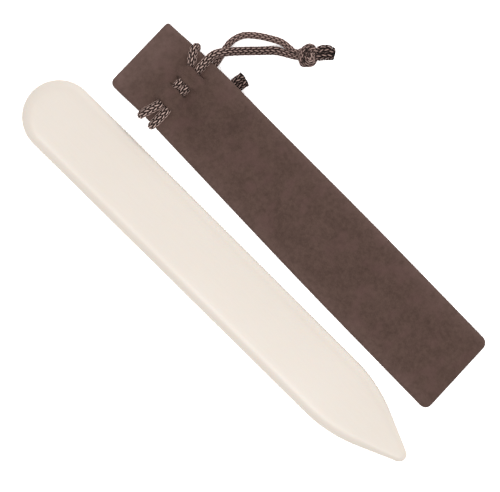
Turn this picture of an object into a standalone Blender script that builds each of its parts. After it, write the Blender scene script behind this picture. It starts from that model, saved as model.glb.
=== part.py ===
"""A bone folder and the drawstring pouch that it comes in, lying side by side on a table.

The folder is one slip of polished bone with a round end and a point. The pouch is two velvet panels
sewn together on three sides, with two braided drawstrings that run through slits near its mouth.
Each drawstring goes right round the mouth and has both its ends in one overhand knot. The right one
lies on the table beside the pouch, and the left one is folded away under it.

The origin is on the table under the middle of the folder. +X runs along the folder to its point,
+Y runs across to the pouch and +Z is up. Lengths are in metres.
"""

import math
from typing import NamedTuple

import bmesh
import bpy
import numpy as np

MM = 0.001
GAP = 0.3 * MM  # left between pieces that touch

# The bone folder
FOLDER_LENGTH = 200 * MM
FOLDER_WIDTH = 28 * MM
FOLDER_THICKNESS = 4 * MM
ROUND_END_RADIUS = 14.3 * MM
SHOULDER_RADIUS = 58 * MM
POINT_RADIUS = 3 * MM
POINT_HALF_ANGLE = math.radians(23.3)
POINT_THICKNESS = 2.6 * MM
EDGE_ROUND = 4.5 * MM  # how far the rounded edge reaches in from the side
POINT_EDGE_ROUND = 2.2 * MM
EDGE_STEPS = 8
FOOT_CORNER_TURN = math.radians(45)  # the flat of the underside has few corners, so that it stands still

# The pouch, in its own frame: x from the mouth to the foot, y from its left side to its right
POUCH_LENGTH = 172.7 * MM
MOUTH_HALF_WIDTH = 16.1 * MM
FOOT_WIDENING = 1.55 * MM  # on each side, from the mouth to the foot
MOUTH_LEAN = 0.9 * MM  # the mouth hangs this far to the left of the middle line
MOUTH_LEAN_REACH = 22 * MM
MOUTH_STRETCH = 0.5 * MM  # the cloth in front of the cords reaches this much further
MOUTH_SKEW = 0.6 * MM  # and this much more at its right corner, less at its left one
MOUTH_STRETCH_REACH = 14 * MM
FOOT_SKEW = 0.9 * MM  # the foot's left corner reaches this much further, its right corner less
FOOT_CORNER = 3 * MM
MOUTH_LEFT_CORNER = 2.4 * MM
MOUTH_RIGHT_CORNER = 1.3 * MM
VELVET = 0.9 * MM
PANEL_GAP = 0.4 * MM  # between the panels of the empty pouch
POUCH_CENTRE = (5.3 * MM, 38.2 * MM)
POUCH_TURN = math.radians(-1.1)

# The seam that joins the panels
SEAM_INSET = 1.5 * MM
SEAM_SWELL = 0.76 * MM  # the front panel stands this much higher over the seam
SEAM_SWELL_REACH = 0.9 * MM
SEAM_LINES = (0.0, 0.7 * MM, SEAM_INSET, 2.3 * MM, 4.2 * MM)  # insets of the cloth's lines along a seam
THREAD_DIAMETER = 0.5 * MM

# The drawstrings
CORD_RADIUS = 1.35 * MM
CORD_RADIUS_UNDER = 1.1 * MM  # pressed by the pouch on top of it
CORD_RADIUS_INSIDE = 0.8 * MM  # pressed flat between the panels
TABLE_CLEARANCE = 0.2 * MM
SLIT_ROW = -66 * MM
SLIT_HALF_LENGTH = 4.4 * MM
FRONT_SLITS = (-8.0 * MM, -0.4 * MM, 3.4 * MM, 9.6 * MM)
BACK_SLITS = FRONT_SLITS[1:3]
LIP = 0.9 * MM  # a panel climbs from under a cord to over it within this of a slit
POINT_SPACING = 2.3 * MM
KNOT_SPACING = 0.95 * MM

# The overhand knot, in cord diameters as the knot squeezes them
KNOT_CORD = 1.7 * MM
KNOT_ENTRY = 4.2
KNOT_TAIL = 6.35
KNOT_HALF_HEIGHT = 1.3
STRAND_SPREAD = 0.9
LINK = 0.4


class Layer(NamedTuple):
    """Where a cord lies in the pouch: its height over the middle of the pouch, and its radius."""

    height: float
    radius: float


HALF_GAP = PANEL_GAP / 2
OUTSIDE = HALF_GAP + VELVET + GAP
INSIDE = HALF_GAP + 0.75 * CORD_RADIUS_INSIDE + 0.15 * MM
CASING_RISE = INSIDE + CORD_RADIUS_INSIDE + GAP - HALF_GAP
OVER = Layer(OUTSIDE + CORD_RADIUS, CORD_RADIUS)
FRONT = Layer(INSIDE, CORD_RADIUS_INSIDE)
BACK = Layer(-INSIDE, CORD_RADIUS_INSIDE)
UNDER = Layer(-OUTSIDE - CORD_RADIUS_UNDER, CORD_RADIUS_UNDER)
EDGE = Layer(0.0, CORD_RADIUS)
EDGE_TOP = Layer(2.0 * MM, CORD_RADIUS)
EDGE_FOOT = Layer(-2.0 * MM, CORD_RADIUS_UNDER)
ON_TABLE = TABLE_CLEARANCE + CORD_RADIUS
UNDER_POUCH = TABLE_CLEARANCE + CORD_RADIUS_UNDER

# Where cords fold round the pouch's edges: place along the pouch, and side
EDGE_FOLDS = ((-68.9 * MM, -1), (-63.1 * MM, -1), (-73.0 * MM, 1))
FOLD_DEPTH = 1.2 * MM
FOLD_HALF_WIDTH = 0.9 * MM  # at full depth, and as far again to its end

# Routes in millimetres in the pouch's frame, each point with its layer or its height over the table
RIGHT_FRONT_STRAND = (
    (-65.9, 19.4, 5.6 * MM),
    (-63.4, 23.2, 4.7 * MM),
    (-60.2, 27.1, 2.6 * MM),
    (-55.0, 32.7, ON_TABLE),
    (-50.6, 37.2, ON_TABLE),
)
RIGHT_THREADED = (
    (-66.2, 16.4, OVER),
    (-66.1, 13.6, OVER),
    (-65.9, 11.0, OVER),
    (-65.4, 8.3, FRONT),
    (-64.8, 6.5, FRONT),
    (-64.4, 4.7, FRONT),
    (-64.3, 2.3, OVER),
    (-64.3, 0.7, OVER),
    (-64.2, -1.7, FRONT),
    (-64.0, -4.2, FRONT),
    (-63.8, -6.7, FRONT),
    (-63.6, -9.3, OVER),
    (-63.3, -11.8, OVER),
    (-63.1, -14.2, OVER),
    (-63.1, -15.9, EDGE_TOP),
    (-63.1, -16.7, EDGE),
    (-63.3, -15.9, EDGE_FOOT),
    (-63.6, -13.8, UNDER),
    (-64.0, -8.4, UNDER),
    (-64.3, -2.9, UNDER),
    (-64.4, 0.7, BACK),
    (-64.4, 1.5, BACK),
    (-64.4, 2.3, BACK),
    (-64.2, 5.9, UNDER),
    (-63.7, 10.6, UNDER),
    (-63.1, 15.0, UNDER),
)
RIGHT_BACK_STRAND = (
    (-63.4, 18.2, ON_TABLE),
    (-64.6, 23.0, ON_TABLE),
    (-65.2, 27.3, ON_TABLE),
    (-63.8, 32.0, ON_TABLE),
    (-60.2, 35.7, ON_TABLE),
    (-55.7, 38.8, ON_TABLE),
    (-51.4, 41.0, ON_TABLE),
)
LEFT_FRONT_STRAND = (
    (-58.6, -11.2, UNDER_POUCH),
    (-55.0, -6.6, UNDER_POUCH),
    (-51.8, -1.6, UNDER_POUCH),
)
LEFT_THREADED = (
    (-63.0, -13.3, UNDER_POUCH),
    (-66.6, -13.7, UNDER_POUCH),
    (-68.4, -14.6, 2.8 * MM),
    (-68.9, -15.9, EDGE_FOOT),
    (-68.9, -16.7, EDGE),
    (-68.8, -15.9, EDGE_TOP),
    (-68.6, -14.2, OVER),
    (-68.1, -11.8, OVER),
    (-67.6, -9.3, OVER),
    (-67.7, -6.7, FRONT),
    (-67.8, -4.2, FRONT),
    (-67.9, -1.7, FRONT),
    (-67.9, 0.7, OVER),
    (-67.9, 2.3, OVER),
    (-68.1, 4.7, FRONT),
    (-68.4, 6.5, FRONT),
    (-68.8, 8.3, FRONT),
    (-70.0, 11.0, OVER),
    (-71.8, 13.4, OVER),
    (-73.0, 15.5, EDGE_TOP),
    (-73.2, 16.5, EDGE),
    (-72.6, 15.4, EDGE_FOOT),
    (-70.8, 12.9, UNDER),
    (-69.0, 9.6, UNDER),
    (-68.2, 5.9, UNDER),
    (-68.0, 2.3, BACK),
    (-68.0, 1.5, BACK),
    (-68.0, 0.7, BACK),
    (-68.1, -2.9, UNDER),
)
LEFT_BACK_STRAND = (
    (-67.7, -6.6, UNDER_POUCH),
    (-65.4, -9.6, UNDER_POUCH),
    (-62.2, -8.8, UNDER_POUCH),
    (-59.6, -5.6, UNDER_POUCH),
    (-56.0, -1.6, UNDER_POUCH),
)
RIGHT_KNOT = (-40.9 * MM, 44.6 * MM, math.radians(46))
LEFT_KNOT = (-51.4 * MM, 10.6 * MM, math.radians(90))

# How the pouch lies over the cords: heights of its middle over the table
REST_HEIGHT = HALF_GAP + VELVET
CORD_LIFT = TABLE_CLEARANCE + 2 * CORD_RADIUS_UNDER + GAP
CROSSING_LIFT = 2.6 * MM
CROSSING = ((-64.5 * MM, -12.5 * MM), (5 * MM, 5 * MM))  # centre and reach
KNOT_LIFT = 4.1 * MM
KNOT_HILL = ((-51.4 * MM, 11.5 * MM), (6.5 * MM, 8.5 * MM))
MOUTH_RISE = 12 * MM  # the pouch climbs onto the cords within this of its mouth
CORDS_BEHIND = -49 * MM  # and comes down again from here
CORDS_DESCENT = 30 * MM

BONE = ((0.85, 0.78, 0.68), 0.38)
VELVET_BROWN = ((0.115, 0.072, 0.058), 0.95)
CORD_BROWN = ((0.075, 0.048, 0.040), 0.75)
THREAD_BROWN = ((0.060, 0.040, 0.034), 0.80)


def smooth_step(value):
    """0 up to 0, 1 from 1, and a smooth climb between."""
    held = np.clip(value, 0.0, 1.0)
    return held * held * (3 - 2 * held)


def new_collection(name, hidden=False):
    collection = bpy.data.collections.new(name)
    collection.hide_render = hidden
    bpy.context.scene.collection.children.link(collection)
    return collection


def new_material(name, finish):
    colour, roughness = finish
    material = bpy.data.materials.new(name)
    material.use_nodes = True
    shader = material.node_tree.nodes["Principled BSDF"]
    shader.inputs["Base Color"].default_value = (*colour, 1.0)
    shader.inputs["Roughness"].default_value = roughness
    material.diffuse_color = (*colour, 1.0)
    return material


def mesh_object(name, built, material, collection):
    mesh = bpy.data.meshes.new(name)
    built.to_mesh(mesh)
    built.free()
    mesh.shade_smooth()
    mesh.materials.append(material)
    made = bpy.data.objects.new(name, mesh)
    collection.objects.link(made)
    return made


# The bone folder


def folder_half_outline():
    """Points of the outline from the point to the round end, on +Y, each with its normal's angle and
    the reach of its rounded edge."""
    half = FOLDER_WIDTH / 2
    taper_angle = math.pi / 2 - POINT_HALF_ANGLE
    tip_x = FOLDER_LENGTH / 2 - POINT_RADIUS
    taper_fall = (half - SHOULDER_RADIUS + SHOULDER_RADIUS * math.sin(taper_angle)
                  - POINT_RADIUS * math.sin(taper_angle))
    taper_run = taper_fall / math.tan(POINT_HALF_ANGLE)
    shoulder_x = (tip_x + (POINT_RADIUS - SHOULDER_RADIUS) * math.cos(taper_angle) - taper_run)
    round_x = ROUND_END_RADIUS - FOLDER_LENGTH / 2

    outline = []
    for angle in np.linspace(0, taper_angle, 8):
        outline.append((tip_x + POINT_RADIUS * math.cos(angle), POINT_RADIUS * math.sin(angle), angle))
    for share in (0.33, 0.67):
        first = outline[7]
        outline.append((first[0] - share * taper_run, first[1] + share * taper_fall, taper_angle))
    for angle in np.linspace(taper_angle, math.pi / 2, 7):
        outline.append((shoulder_x + SHOULDER_RADIUS * math.cos(angle),
                        half - SHOULDER_RADIUS + SHOULDER_RADIUS * math.sin(angle), angle))
    for share in np.linspace(0.15, 0.85, 6):
        outline.append((shoulder_x + share * (round_x - shoulder_x),
                        half + share * (ROUND_END_RADIUS - half), math.pi / 2))
    for angle in np.linspace(math.pi / 2, math.pi, 17):
        outline.append((round_x + ROUND_END_RADIUS * math.cos(angle),
                        ROUND_END_RADIUS * math.sin(angle), angle))

    length_of_point = FOLDER_LENGTH / 2 - shoulder_x
    rows = []
    for x, y, angle in outline:
        to_point = smooth_step((x - shoulder_x) / length_of_point)
        rows.append((x, y, angle, EDGE_ROUND + (POINT_EDGE_ROUND - EDGE_ROUND) * to_point))
    return rows, shoulder_x


def thin_foot(built, ring, rows):
    """Keeps only a few corners of the underside's flat at the round end."""
    centre = ROUND_END_RADIUS - FOLDER_LENGTH / 2
    reach = ROUND_END_RADIUS - EDGE_ROUND
    dropped = {}
    for i, (_, _, angle, _) in enumerate(rows):
        turns = angle / FOOT_CORNER_TURN
        if abs(angle) > math.pi / 2 and abs(turns - round(turns)) > 0.01:
            dropped[i] = round(turns) * FOOT_CORNER_TURN
    kept = [vert for i, vert in enumerate(ring) if i not in dropped]
    for i, corner in dropped.items():
        place = (centre + reach * math.cos(corner), reach * math.sin(corner))
        built.verts.remove(ring[i])
        ring[i] = min(kept, key=lambda vert: math.dist(vert.co[:2], place))


def build_folder(material, collection):
    """Rings of the outline, drawn in towards both faces along the rounded edge, and the two faces."""
    half_outline, shoulder_x = folder_half_outline()
    rows = half_outline + [(x, -y, -angle, edge) for x, y, angle, edge in half_outline[-2:0:-1]]
    count = len(rows)

    def thickness_at(x):
        share = smooth_step((x - shoulder_x) / (FOLDER_LENGTH / 2 - shoulder_x))
        return FOLDER_THICKNESS + (POINT_THICKNESS - FOLDER_THICKNESS) * share

    built = bmesh.new()
    rings = []
    for turn in np.linspace(-math.pi / 2, math.pi / 2, EDGE_STEPS + 1):
        ring = []
        for x, y, angle, edge in rows:
            inset = edge * (1 - math.cos(turn))
            ring_x = x - inset * math.cos(angle)
            ring_y = y - inset * math.sin(angle)
            height = FOLDER_THICKNESS / 2 + thickness_at(ring_x) / 2 * math.sin(turn)
            ring.append(built.verts.new((ring_x, ring_y, height)))
        rings.append(ring)
    thin_foot(built, rings[0], rows)
    for lower, upper in zip(rings, rings[1:]):
        for i in range(count):
            following = (i + 1) % count
            built.faces.new(dict.fromkeys((lower[i], lower[following], upper[following], upper[i])))
    for ring in (rings[0], rings[-1]):
        for i in range(count // 2):
            corners = dict.fromkeys(
                (ring[i], ring[i + 1], ring[(count - i - 1) % count], ring[(count - i) % count]))
            if len(corners) > 2:
                built.faces.new(corners)
    bmesh.ops.recalc_face_normals(built, faces=built.faces)
    folder = mesh_object("bone_folder", built, material, collection)
    folder.data.set_sharp_from_angle(angle=math.radians(40))
    return folder


# The pouch's panels


def hill(x, y, centre, reach):
    """1 over an ellipse round the centre, falling to 0 at about twice its reach."""
    out = np.hypot((x - centre[0]) / reach[0], (y - centre[1]) / reach[1])
    return 1 - smooth_step((out - 1) / 1.3)


def pouch_middle(x, y):
    """Height of the middle of the pouch, where its panels meet, over the table."""
    climbed = smooth_step((x + POUCH_LENGTH / 2) / MOUTH_RISE)
    raised = climbed * (1 - smooth_step((x - CORDS_BEHIND) / CORDS_DESCENT))
    crossing = hill(x, y, *CROSSING)
    knot = hill(x, y, *KNOT_HILL)
    lift = raised * CORD_LIFT + crossing * CROSSING_LIFT + knot * KNOT_LIFT
    return REST_HEIGHT + lift


def pouch_steepness(x, y):
    """How much further apart the panels lie, measured upright, where the pouch slopes."""
    step = 0.25 * MM
    rise_x = (pouch_middle(x + step, y) - pouch_middle(x - step, y)) / (2 * step)
    rise_y = (pouch_middle(x, y + step) - pouch_middle(x, y - step)) / (2 * step)
    return np.sqrt(1 + rise_x**2 + rise_y**2)


def pouch_half_width(x, side):
    """Distance of the pouch's side from its middle line, drawn in where a cord folds round it."""
    share = (x + POUCH_LENGTH / 2) / POUCH_LENGTH
    width = MOUTH_HALF_WIDTH + FOOT_WIDENING * (1 - (1 - share) ** 2)
    for fold_x, fold_side in EDGE_FOLDS:
        if fold_side == side:
            width -= FOLD_DEPTH * (1 - smooth_step(abs(x - fold_x) / FOLD_HALF_WIDTH - 1))
    if x > 0:
        corner = FOOT_CORNER
    else:
        corner = MOUTH_RIGHT_CORNER if side > 0 else MOUTH_LEFT_CORNER
    to_end = max(POUCH_LENGTH / 2 - abs(x), 0.0)
    if to_end < corner:
        width -= corner - math.sqrt(corner**2 - (corner - to_end) ** 2)
    return width


def pouch_place(x, y):
    """A point of the straight pouch, with the lean and skew of its mouth and its foot."""
    from_mouth = x + POUCH_LENGTH / 2
    share = from_mouth / POUCH_LENGTH
    to_right = y / MOUTH_HALF_WIDTH
    lean = MOUTH_LEAN * (1 - smooth_step(from_mouth / MOUTH_LEAN_REACH))
    stretch = (MOUTH_STRETCH + MOUTH_SKEW * to_right) * (1 - smooth_step(from_mouth / MOUTH_STRETCH_REACH))
    return x - FOOT_SKEW * to_right * share**4 - stretch, y - lean


def casing(x, y, slits):
    """1 where cords run inside the panel, between its first and second slit, third and fourth."""
    along = 1 - smooth_step((abs(x - SLIT_ROW) - SLIT_HALF_LENGTH) / (4 * MM))
    across = 0.0
    for first, second in zip(slits[::2], slits[1::2]):
        past_first = np.clip((y - first + LIP) / (2 * LIP), 0, 1)
        before_second = np.clip((second + LIP - y) / (2 * LIP), 0, 1)
        across += past_first * before_second
    return along * across


def panel_stations():
    """Places along the pouch: close together at the corners and over the cords."""
    end = POUCH_LENGTH / 2
    folds = [fold_x + steps * FOLD_HALF_WIDTH for fold_x, _ in EDGE_FOLDS for steps in (-2, -1, 0, 1, 2)]
    return np.concatenate((
        np.array((0.0, 0.3, 1.3, 2.4, 4.5, 8.0)) * MM - end,
        np.sort(folds),
        np.linspace(-58 * MM, -42 * MM, 7),
        np.linspace(-33 * MM, 72 * MM, 6),
        end - np.array((5.5 * MM, FOOT_CORNER, SEAM_INSET, 0.6 * MM, 0.15 * MM, 0.0)),
    ))


def panel_lines():
    """Insets at the seams, and places between them as shares of the half width inside the seams."""
    inner = pouch_half_width(SLIT_ROW, 0) - SEAM_LINES[-1]
    shares = [place / inner for slit in FRONT_SLITS for place in (slit - LIP, slit + LIP)]
    return SEAM_LINES, shares


def build_panel(name, front, slits, material, collection):
    """A velvet panel: a grid draped over what lies under it, made as thick as the cloth."""
    stations = panel_stations()
    insets, shares = panel_lines()
    columns = 2 * len(insets) + len(shares)
    built = bmesh.new()
    bmesh.ops.create_grid(built, x_segments=len(stations) - 1, y_segments=columns - 1, size=1.0)
    for vert in built.verts:
        i = round((vert.co.x + 1) / 2 * (len(stations) - 1))
        j = round((vert.co.y + 1) / 2 * (columns - 1))
        x = stations[i]
        if j < len(insets):
            inset = insets[j]
            y = inset - pouch_half_width(x, -1)
        elif j >= columns - len(insets):
            inset = insets[columns - 1 - j]
            y = pouch_half_width(x, 1) - inset
        else:
            share = shares[j - len(insets)]
            y = share * (pouch_half_width(x, 1 if share > 0 else -1) - insets[-1])
            inset = insets[-1]
        apart = HALF_GAP + CASING_RISE * casing(x, y, slits)
        to_foot = POUCH_LENGTH / 2 - x
        off_seam = min(inset, to_foot) - SEAM_INSET
        swell = SEAM_SWELL * math.exp(-((off_seam / SEAM_SWELL_REACH) ** 2))
        middle = pouch_middle(x, y)
        steepness = pouch_steepness(x, y)
        if front:
            height = middle + (apart + swell + VELVET / 2) * steepness
        else:
            height = middle - (apart + VELVET / 2) * steepness
        vert.co = (*pouch_place(x, y), height)
    panel = mesh_object(name, built, material, collection)
    cloth = panel.modifiers.new("cloth", "SOLIDIFY")
    cloth.thickness = VELVET
    cloth.offset = 0.0
    return panel


def cut_for_cord(panel, cutter):
    cut = panel.modifiers.new("slits", "BOOLEAN")
    cut.operation = "DIFFERENCE"
    cut.solver = "EXACT"
    cut.object = cutter


# Cords


def smooth_curve(rows, per_span=14):
    """A dense centripetal curve through rows of (x, y, z, radius), and the place of each row on it."""
    rows = np.asarray(rows, float)
    rows = np.vstack((2 * rows[0] - rows[1], rows, 2 * rows[-1] - rows[-2]))
    steps = np.sqrt(np.linalg.norm(np.diff(rows[:, :3], axis=0), axis=1))
    share = np.linspace(0, 1, per_span, endpoint=False)[:, None]
    spans = []
    for i in range(1, len(rows) - 2):
        before, here, after = steps[i - 1], steps[i], steps[i + 1]
        start, end = rows[i], rows[i + 1]
        chord = (end - start) / here
        leave = here * ((start - rows[i - 1]) / before - (end - rows[i - 1]) / (before + here) + chord)
        arrive = here * (chord - (rows[i + 2] - start) / (here + after) + (rows[i + 2] - end) / after)
        square, cube = share**2, share**3
        spans.append((2 * cube - 3 * square + 1) * start + (cube - 2 * square + share) * leave
                     + (3 * square - 2 * cube) * end + (cube - square) * arrive)
    dense = np.vstack(spans + [rows[-2:-1]])
    gone = np.concatenate(([0], np.cumsum(np.linalg.norm(np.diff(dense[:, :3], axis=0), axis=1))))
    return dense, gone, gone[::per_span]


def stretch(dense, gone, start, end, spacing):
    """Evenly spaced rows of a curve between two places on it, with short steps at its ends that keep
    its caps square to it."""
    count = max(int(round((end - start) / spacing)) + 1, 3)
    places = np.linspace(start, end, count)
    places = np.concatenate((places[:1], places[:1] + GAP, places[1:-1], places[-1:] - GAP, places[-1:]))
    return np.stack([np.interp(places, gone, column) for column in dense.T], axis=1)


def tube(name, rows, material, collection, bevel_resolution=2):
    """A round tube along rows of (x, y, z, radius)."""
    curve = bpy.data.curves.new(name, "CURVE")
    curve.dimensions = "3D"
    curve.bevel_depth = CORD_RADIUS
    curve.bevel_resolution = bevel_resolution
    curve.use_fill_caps = True
    spline = curve.splines.new("POLY")
    spline.points.add(len(rows) - 1)
    for point, (x, y, z, radius) in zip(spline.points, rows):
        point.co = (x, y, z, 1.0)
        point.radius = radius / CORD_RADIUS
    curve.materials.append(material)
    made = bpy.data.objects.new(name, curve)
    collection.objects.link(made)
    return made


def cutter_of(name, rows, material, collection):
    """The space that a cord needs in the cloth, as a closed mesh."""
    fat = rows.copy()
    fat[:, 3] += GAP
    guide = tube(name, fat, material, collection)
    graph = bpy.context.evaluated_depsgraph_get()
    mesh = bpy.data.meshes.new_from_object(guide.evaluated_get(graph))
    bpy.data.objects.remove(guide)
    welded = bmesh.new()
    welded.from_mesh(mesh)
    bmesh.ops.remove_doubles(welded, verts=welded.verts, dist=0.00001)
    bmesh.ops.recalc_face_normals(welded, faces=welded.faces)
    welded.to_mesh(mesh)
    welded.free()
    cutter = bpy.data.objects.new(name, mesh)
    cutter.hide_render = True
    cutter.display_type = "WIRE"
    collection.objects.link(cutter)
    return cutter


def loose_knot():
    """Two strands side by side along an open trefoil, in cord diameters."""
    turn = np.linspace(-2.12, 2.12, 3000)
    line = 1.25 * np.stack((turn**3 - 3 * turn,
                            0.62 * (turn**4 - 4 * turn**2 + 2),
                            0.16 * (turn**5 - 10 * turn)), axis=1)
    gone = np.concatenate(([0], np.cumsum(np.linalg.norm(np.diff(line, axis=0), axis=1))))
    places = np.arange(0, gone[-1], LINK)
    line = np.stack([np.interp(places, gone, column) for column in line.T], axis=1)
    side = np.cross(np.gradient(line, axis=0), (0, 0, 1.0))
    side *= 0.55 / np.linalg.norm(side, axis=1)[:, None]
    strands = np.stack((line + side, line - side))
    run = np.arange(1, 9)[None, :, None] * LINK * np.array((1.0, 0, 0))
    return np.concatenate((strands[:, :1] - run[:, ::-1], strands, strands[:, -1:] + run), axis=1)


def tight_knot():
    """The loose knot drawn tight: its ends are pulled apart while its strands, of fixed length, push
    each other a diameter away and are pressed flat. With the strands come the radii that they leave
    each other."""
    strands = loose_knot()
    count = strands.shape[1]
    order = np.tile(np.arange(count), 2)
    strand = np.repeat((0, 1), count)
    apart = (strand[:, None] != strand) | (abs(order[:, None] - order) > 3)
    ends_y = np.array((-STRAND_SPREAD, STRAND_SPREAD))
    ends_z = -0.9
    for turn in range(420):
        for end, way in ((0, -1), (-1, 1)):
            strands[:, end, 0] = strands[:, end, 0].mean() + 0.02 * way
            strands[:, end, 1] += 0.05 * (ends_y - strands[:, end, 1])
            strands[:, end, 2] += 0.05 * (ends_z - strands[:, end, 2])
        held = strands[:, [0, -1]].copy()
        for _ in range(5):
            flat = strands.reshape(-1, 3)
            distance = np.linalg.norm(flat[:, None] - flat, axis=2)
            push = np.where(apart & (distance < 1), 0.3 * (1 / np.maximum(distance, 0.05) - 1), 0)
            flat = flat + push.sum(axis=1)[:, None] * flat - push @ flat
            flat[:, 2] = np.clip(flat[:, 2], -KNOT_HALF_HEIGHT, KNOT_HALF_HEIGHT)
            strands = flat.reshape(2, count, 3)
            for first in (0, 1):
                links = np.arange(first, count - 1, 2)
                along = strands[:, links + 1] - strands[:, links]
                fix = 0.5 * (1 - LINK / np.linalg.norm(along, axis=2, keepdims=True)) * along
                strands[:, links] += fix
                strands[:, links + 1] -= fix
            middle = (strands[:, :-2] + strands[:, 2:]) / 2
            strands[:, 1:-1] += 0.05 * (middle - strands[:, 1:-1])
            strands[:, [0, -1]] = held
        strain = np.linalg.norm(np.diff(strands, axis=1), axis=2).mean() / LINK - 1
        if turn > 80 and strain > 0.05:
            break
    flat = strands.reshape(-1, 3)
    distance = np.where(apart, np.linalg.norm(flat[:, None] - flat, axis=2), np.inf)
    room = (distance.min(axis=1) * KNOT_CORD - GAP) / 2
    return strands, np.minimum(room, CORD_RADIUS).reshape(2, count)


def knotted_end(strand, radius, knot):
    """One end of a drawstring through a knot, as rows from where it enters to the end of its tail."""
    x, y, heading = knot
    inside = np.where((strand[:, 0] > -KNOT_ENTRY) & (strand[:, 0] < KNOT_TAIL))[0]
    part = slice(inside[0], inside[-1] + 1)
    core = strand[part] * KNOT_CORD
    radius = radius[part]
    lowest = KNOT_HALF_HEIGHT * KNOT_CORD + KNOT_CORD / 2 + TABLE_CLEARANCE
    height = np.maximum(core[:, 2] + lowest, radius + TABLE_CLEARANCE)
    return np.stack((x + core[:, 0] * math.cos(heading) - core[:, 1] * math.sin(heading),
                     y + core[:, 0] * math.sin(heading) + core[:, 1] * math.cos(heading),
                     height, radius), axis=1)


def route_rows(route, radius):
    """A route's points as rows of (x, y, z, radius)."""
    rows = []
    for x, y, place in route:
        x, y = x * MM, y * MM
        if isinstance(place, Layer):
            height = pouch_middle(x, y) + place.height * pouch_steepness(x, y)
            rows.append((x, y, height, place.radius))
        else:
            rows.append((x, y, place, radius))
    return np.array(rows)


def build_drawstring(side, ends, routes, free_radius, material, collection):
    """The five stretches of a drawstring, and the rows of the one that runs through the slits."""
    front_strand, threaded, back_strand = routes
    pieces = (
        ("front_end", ends[0][::-1], KNOT_SPACING),
        ("front_strand", route_rows(front_strand, free_radius)[::-1], POINT_SPACING),
        ("threaded", route_rows(threaded, free_radius), POINT_SPACING),
        ("back_strand", route_rows(back_strand, free_radius), POINT_SPACING),
        ("back_end", ends[1], KNOT_SPACING),
    )
    dense, gone, marks = smooth_curve(np.vstack([rows for _, rows, _ in pieces]))
    dense[:, 2] = np.maximum(dense[:, 2], dense[:, 3] + TABLE_CLEARANCE)
    lasts = np.cumsum([len(rows) for _, rows, _ in pieces])
    bounds = [marks[0]] + [(marks[last - 1] + marks[last]) / 2 for last in lasts[:-1]] + [marks[-1]]
    print(f"{side} drawstring: {gone[-1] / MM:.0f} mm long")
    through_slits = None
    for (name, _, spacing), start, end in zip(pieces, bounds, bounds[1:]):
        rows = stretch(dense, gone, start + GAP / 2, end - GAP / 2, spacing)
        tube(f"{side}_drawstring_{name}", rows, material, collection)
        if name == "threaded":
            through_slits = stretch(dense, gone, start - 2 * MM, end + 2 * MM, spacing)
    return through_slits


def build_seam_thread(material, collection):
    """The thread of the seam, down the left side, across the foot and up the right side."""
    end = POUCH_LENGTH / 2
    corner = FOOT_CORNER - SEAM_INSET
    foot_x = end - FOOT_CORNER
    sides = [x for x in panel_stations() if -end + MM < x < foot_x + 0.01 * MM]
    foot_y = pouch_half_width(foot_x, 1) - FOOT_CORNER
    line = [(x, SEAM_INSET - pouch_half_width(x, -1)) for x in sides]
    for turn in np.linspace(0, math.pi / 2, 4)[1:]:
        line.append((foot_x + corner * math.sin(turn), -foot_y - corner * math.cos(turn)))
    for turn in np.linspace(0, math.pi / 2, 4)[:-1]:
        line.append((foot_x + corner * math.cos(turn), foot_y + corner * math.sin(turn)))
    line += [(x, pouch_half_width(x, 1) - SEAM_INSET) for x in sides[::-1]]
    rows = []
    for x, y in line:
        height = pouch_middle(x, y) + SEAM_SWELL / 2 * pouch_steepness(x, y)
        rows.append((*pouch_place(x, y), height, THREAD_DIAMETER / 2))
    return tube("seam_thread", rows, material, collection, bevel_resolution=1)


def main():
    for old in list(bpy.data.objects):
        bpy.data.objects.remove(old)
    parts = new_collection("bone_folder_and_pouch")
    cutters = new_collection("cutters", hidden=True)
    bone = new_material("polished_bone", BONE)
    velvet = new_material("brown_velvet", VELVET_BROWN)
    cord = new_material("brown_braid", CORD_BROWN)
    thread = new_material("brown_thread", THREAD_BROWN)

    build_folder(bone, parts)

    pouch = bpy.data.objects.new("pouch", None)
    pouch.location = (*POUCH_CENTRE, 0.0)
    pouch.rotation_euler.z = POUCH_TURN
    parts.objects.link(pouch)

    front = build_panel("pouch_front_panel", True, FRONT_SLITS, velvet, parts)
    back = build_panel("pouch_back_panel", False, BACK_SLITS, velvet, parts)
    build_seam_thread(thread, parts)

    knot_strands = list(zip(*tight_knot()))
    right_routes = (RIGHT_FRONT_STRAND, RIGHT_THREADED, RIGHT_BACK_STRAND)
    left_routes = (LEFT_FRONT_STRAND, LEFT_THREADED, LEFT_BACK_STRAND)
    drawstrings = (
        ("right", RIGHT_KNOT, right_routes, CORD_RADIUS),
        ("left", LEFT_KNOT, left_routes, CORD_RADIUS_UNDER),
    )
    for side, knot, routes, free_radius in drawstrings:
        ends = [knotted_end(strand, radius, knot) for strand, radius in knot_strands]
        rows = build_drawstring(side, ends, routes, free_radius, cord, parts)
        cutter = cutter_of(f"{side}_drawstring_room", rows, cord, cutters)
        cutter.parent = pouch
        cut_for_cord(front, cutter)
        cut_for_cord(back, cutter)

    for part in parts.objects:
        if part not in (pouch, parts.objects["bone_folder"]):
            part.parent = pouch


main()
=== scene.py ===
"""Looks of a bone folder lying beside the velvet drawstring pouch that it is kept in.

The folder is one slip of polished bone. The pouch is two velvet panels with turned edges, a seam inside
them and two round braided drawstrings that run through slits near its mouth. Both ends of a drawstring
are tied in one overhand knot. Lengths are in metres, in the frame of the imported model: +X runs along
the folder to its point, +Y across to the pouch, and +Z is up from the table.
"""

import logging
import math
from dataclasses import dataclass, replace
from enum import Enum
from typing import Any, Optional, Sequence, Union

import bmesh
import bpy
import numpy as np
from mathutils import Matrix, Vector


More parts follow.
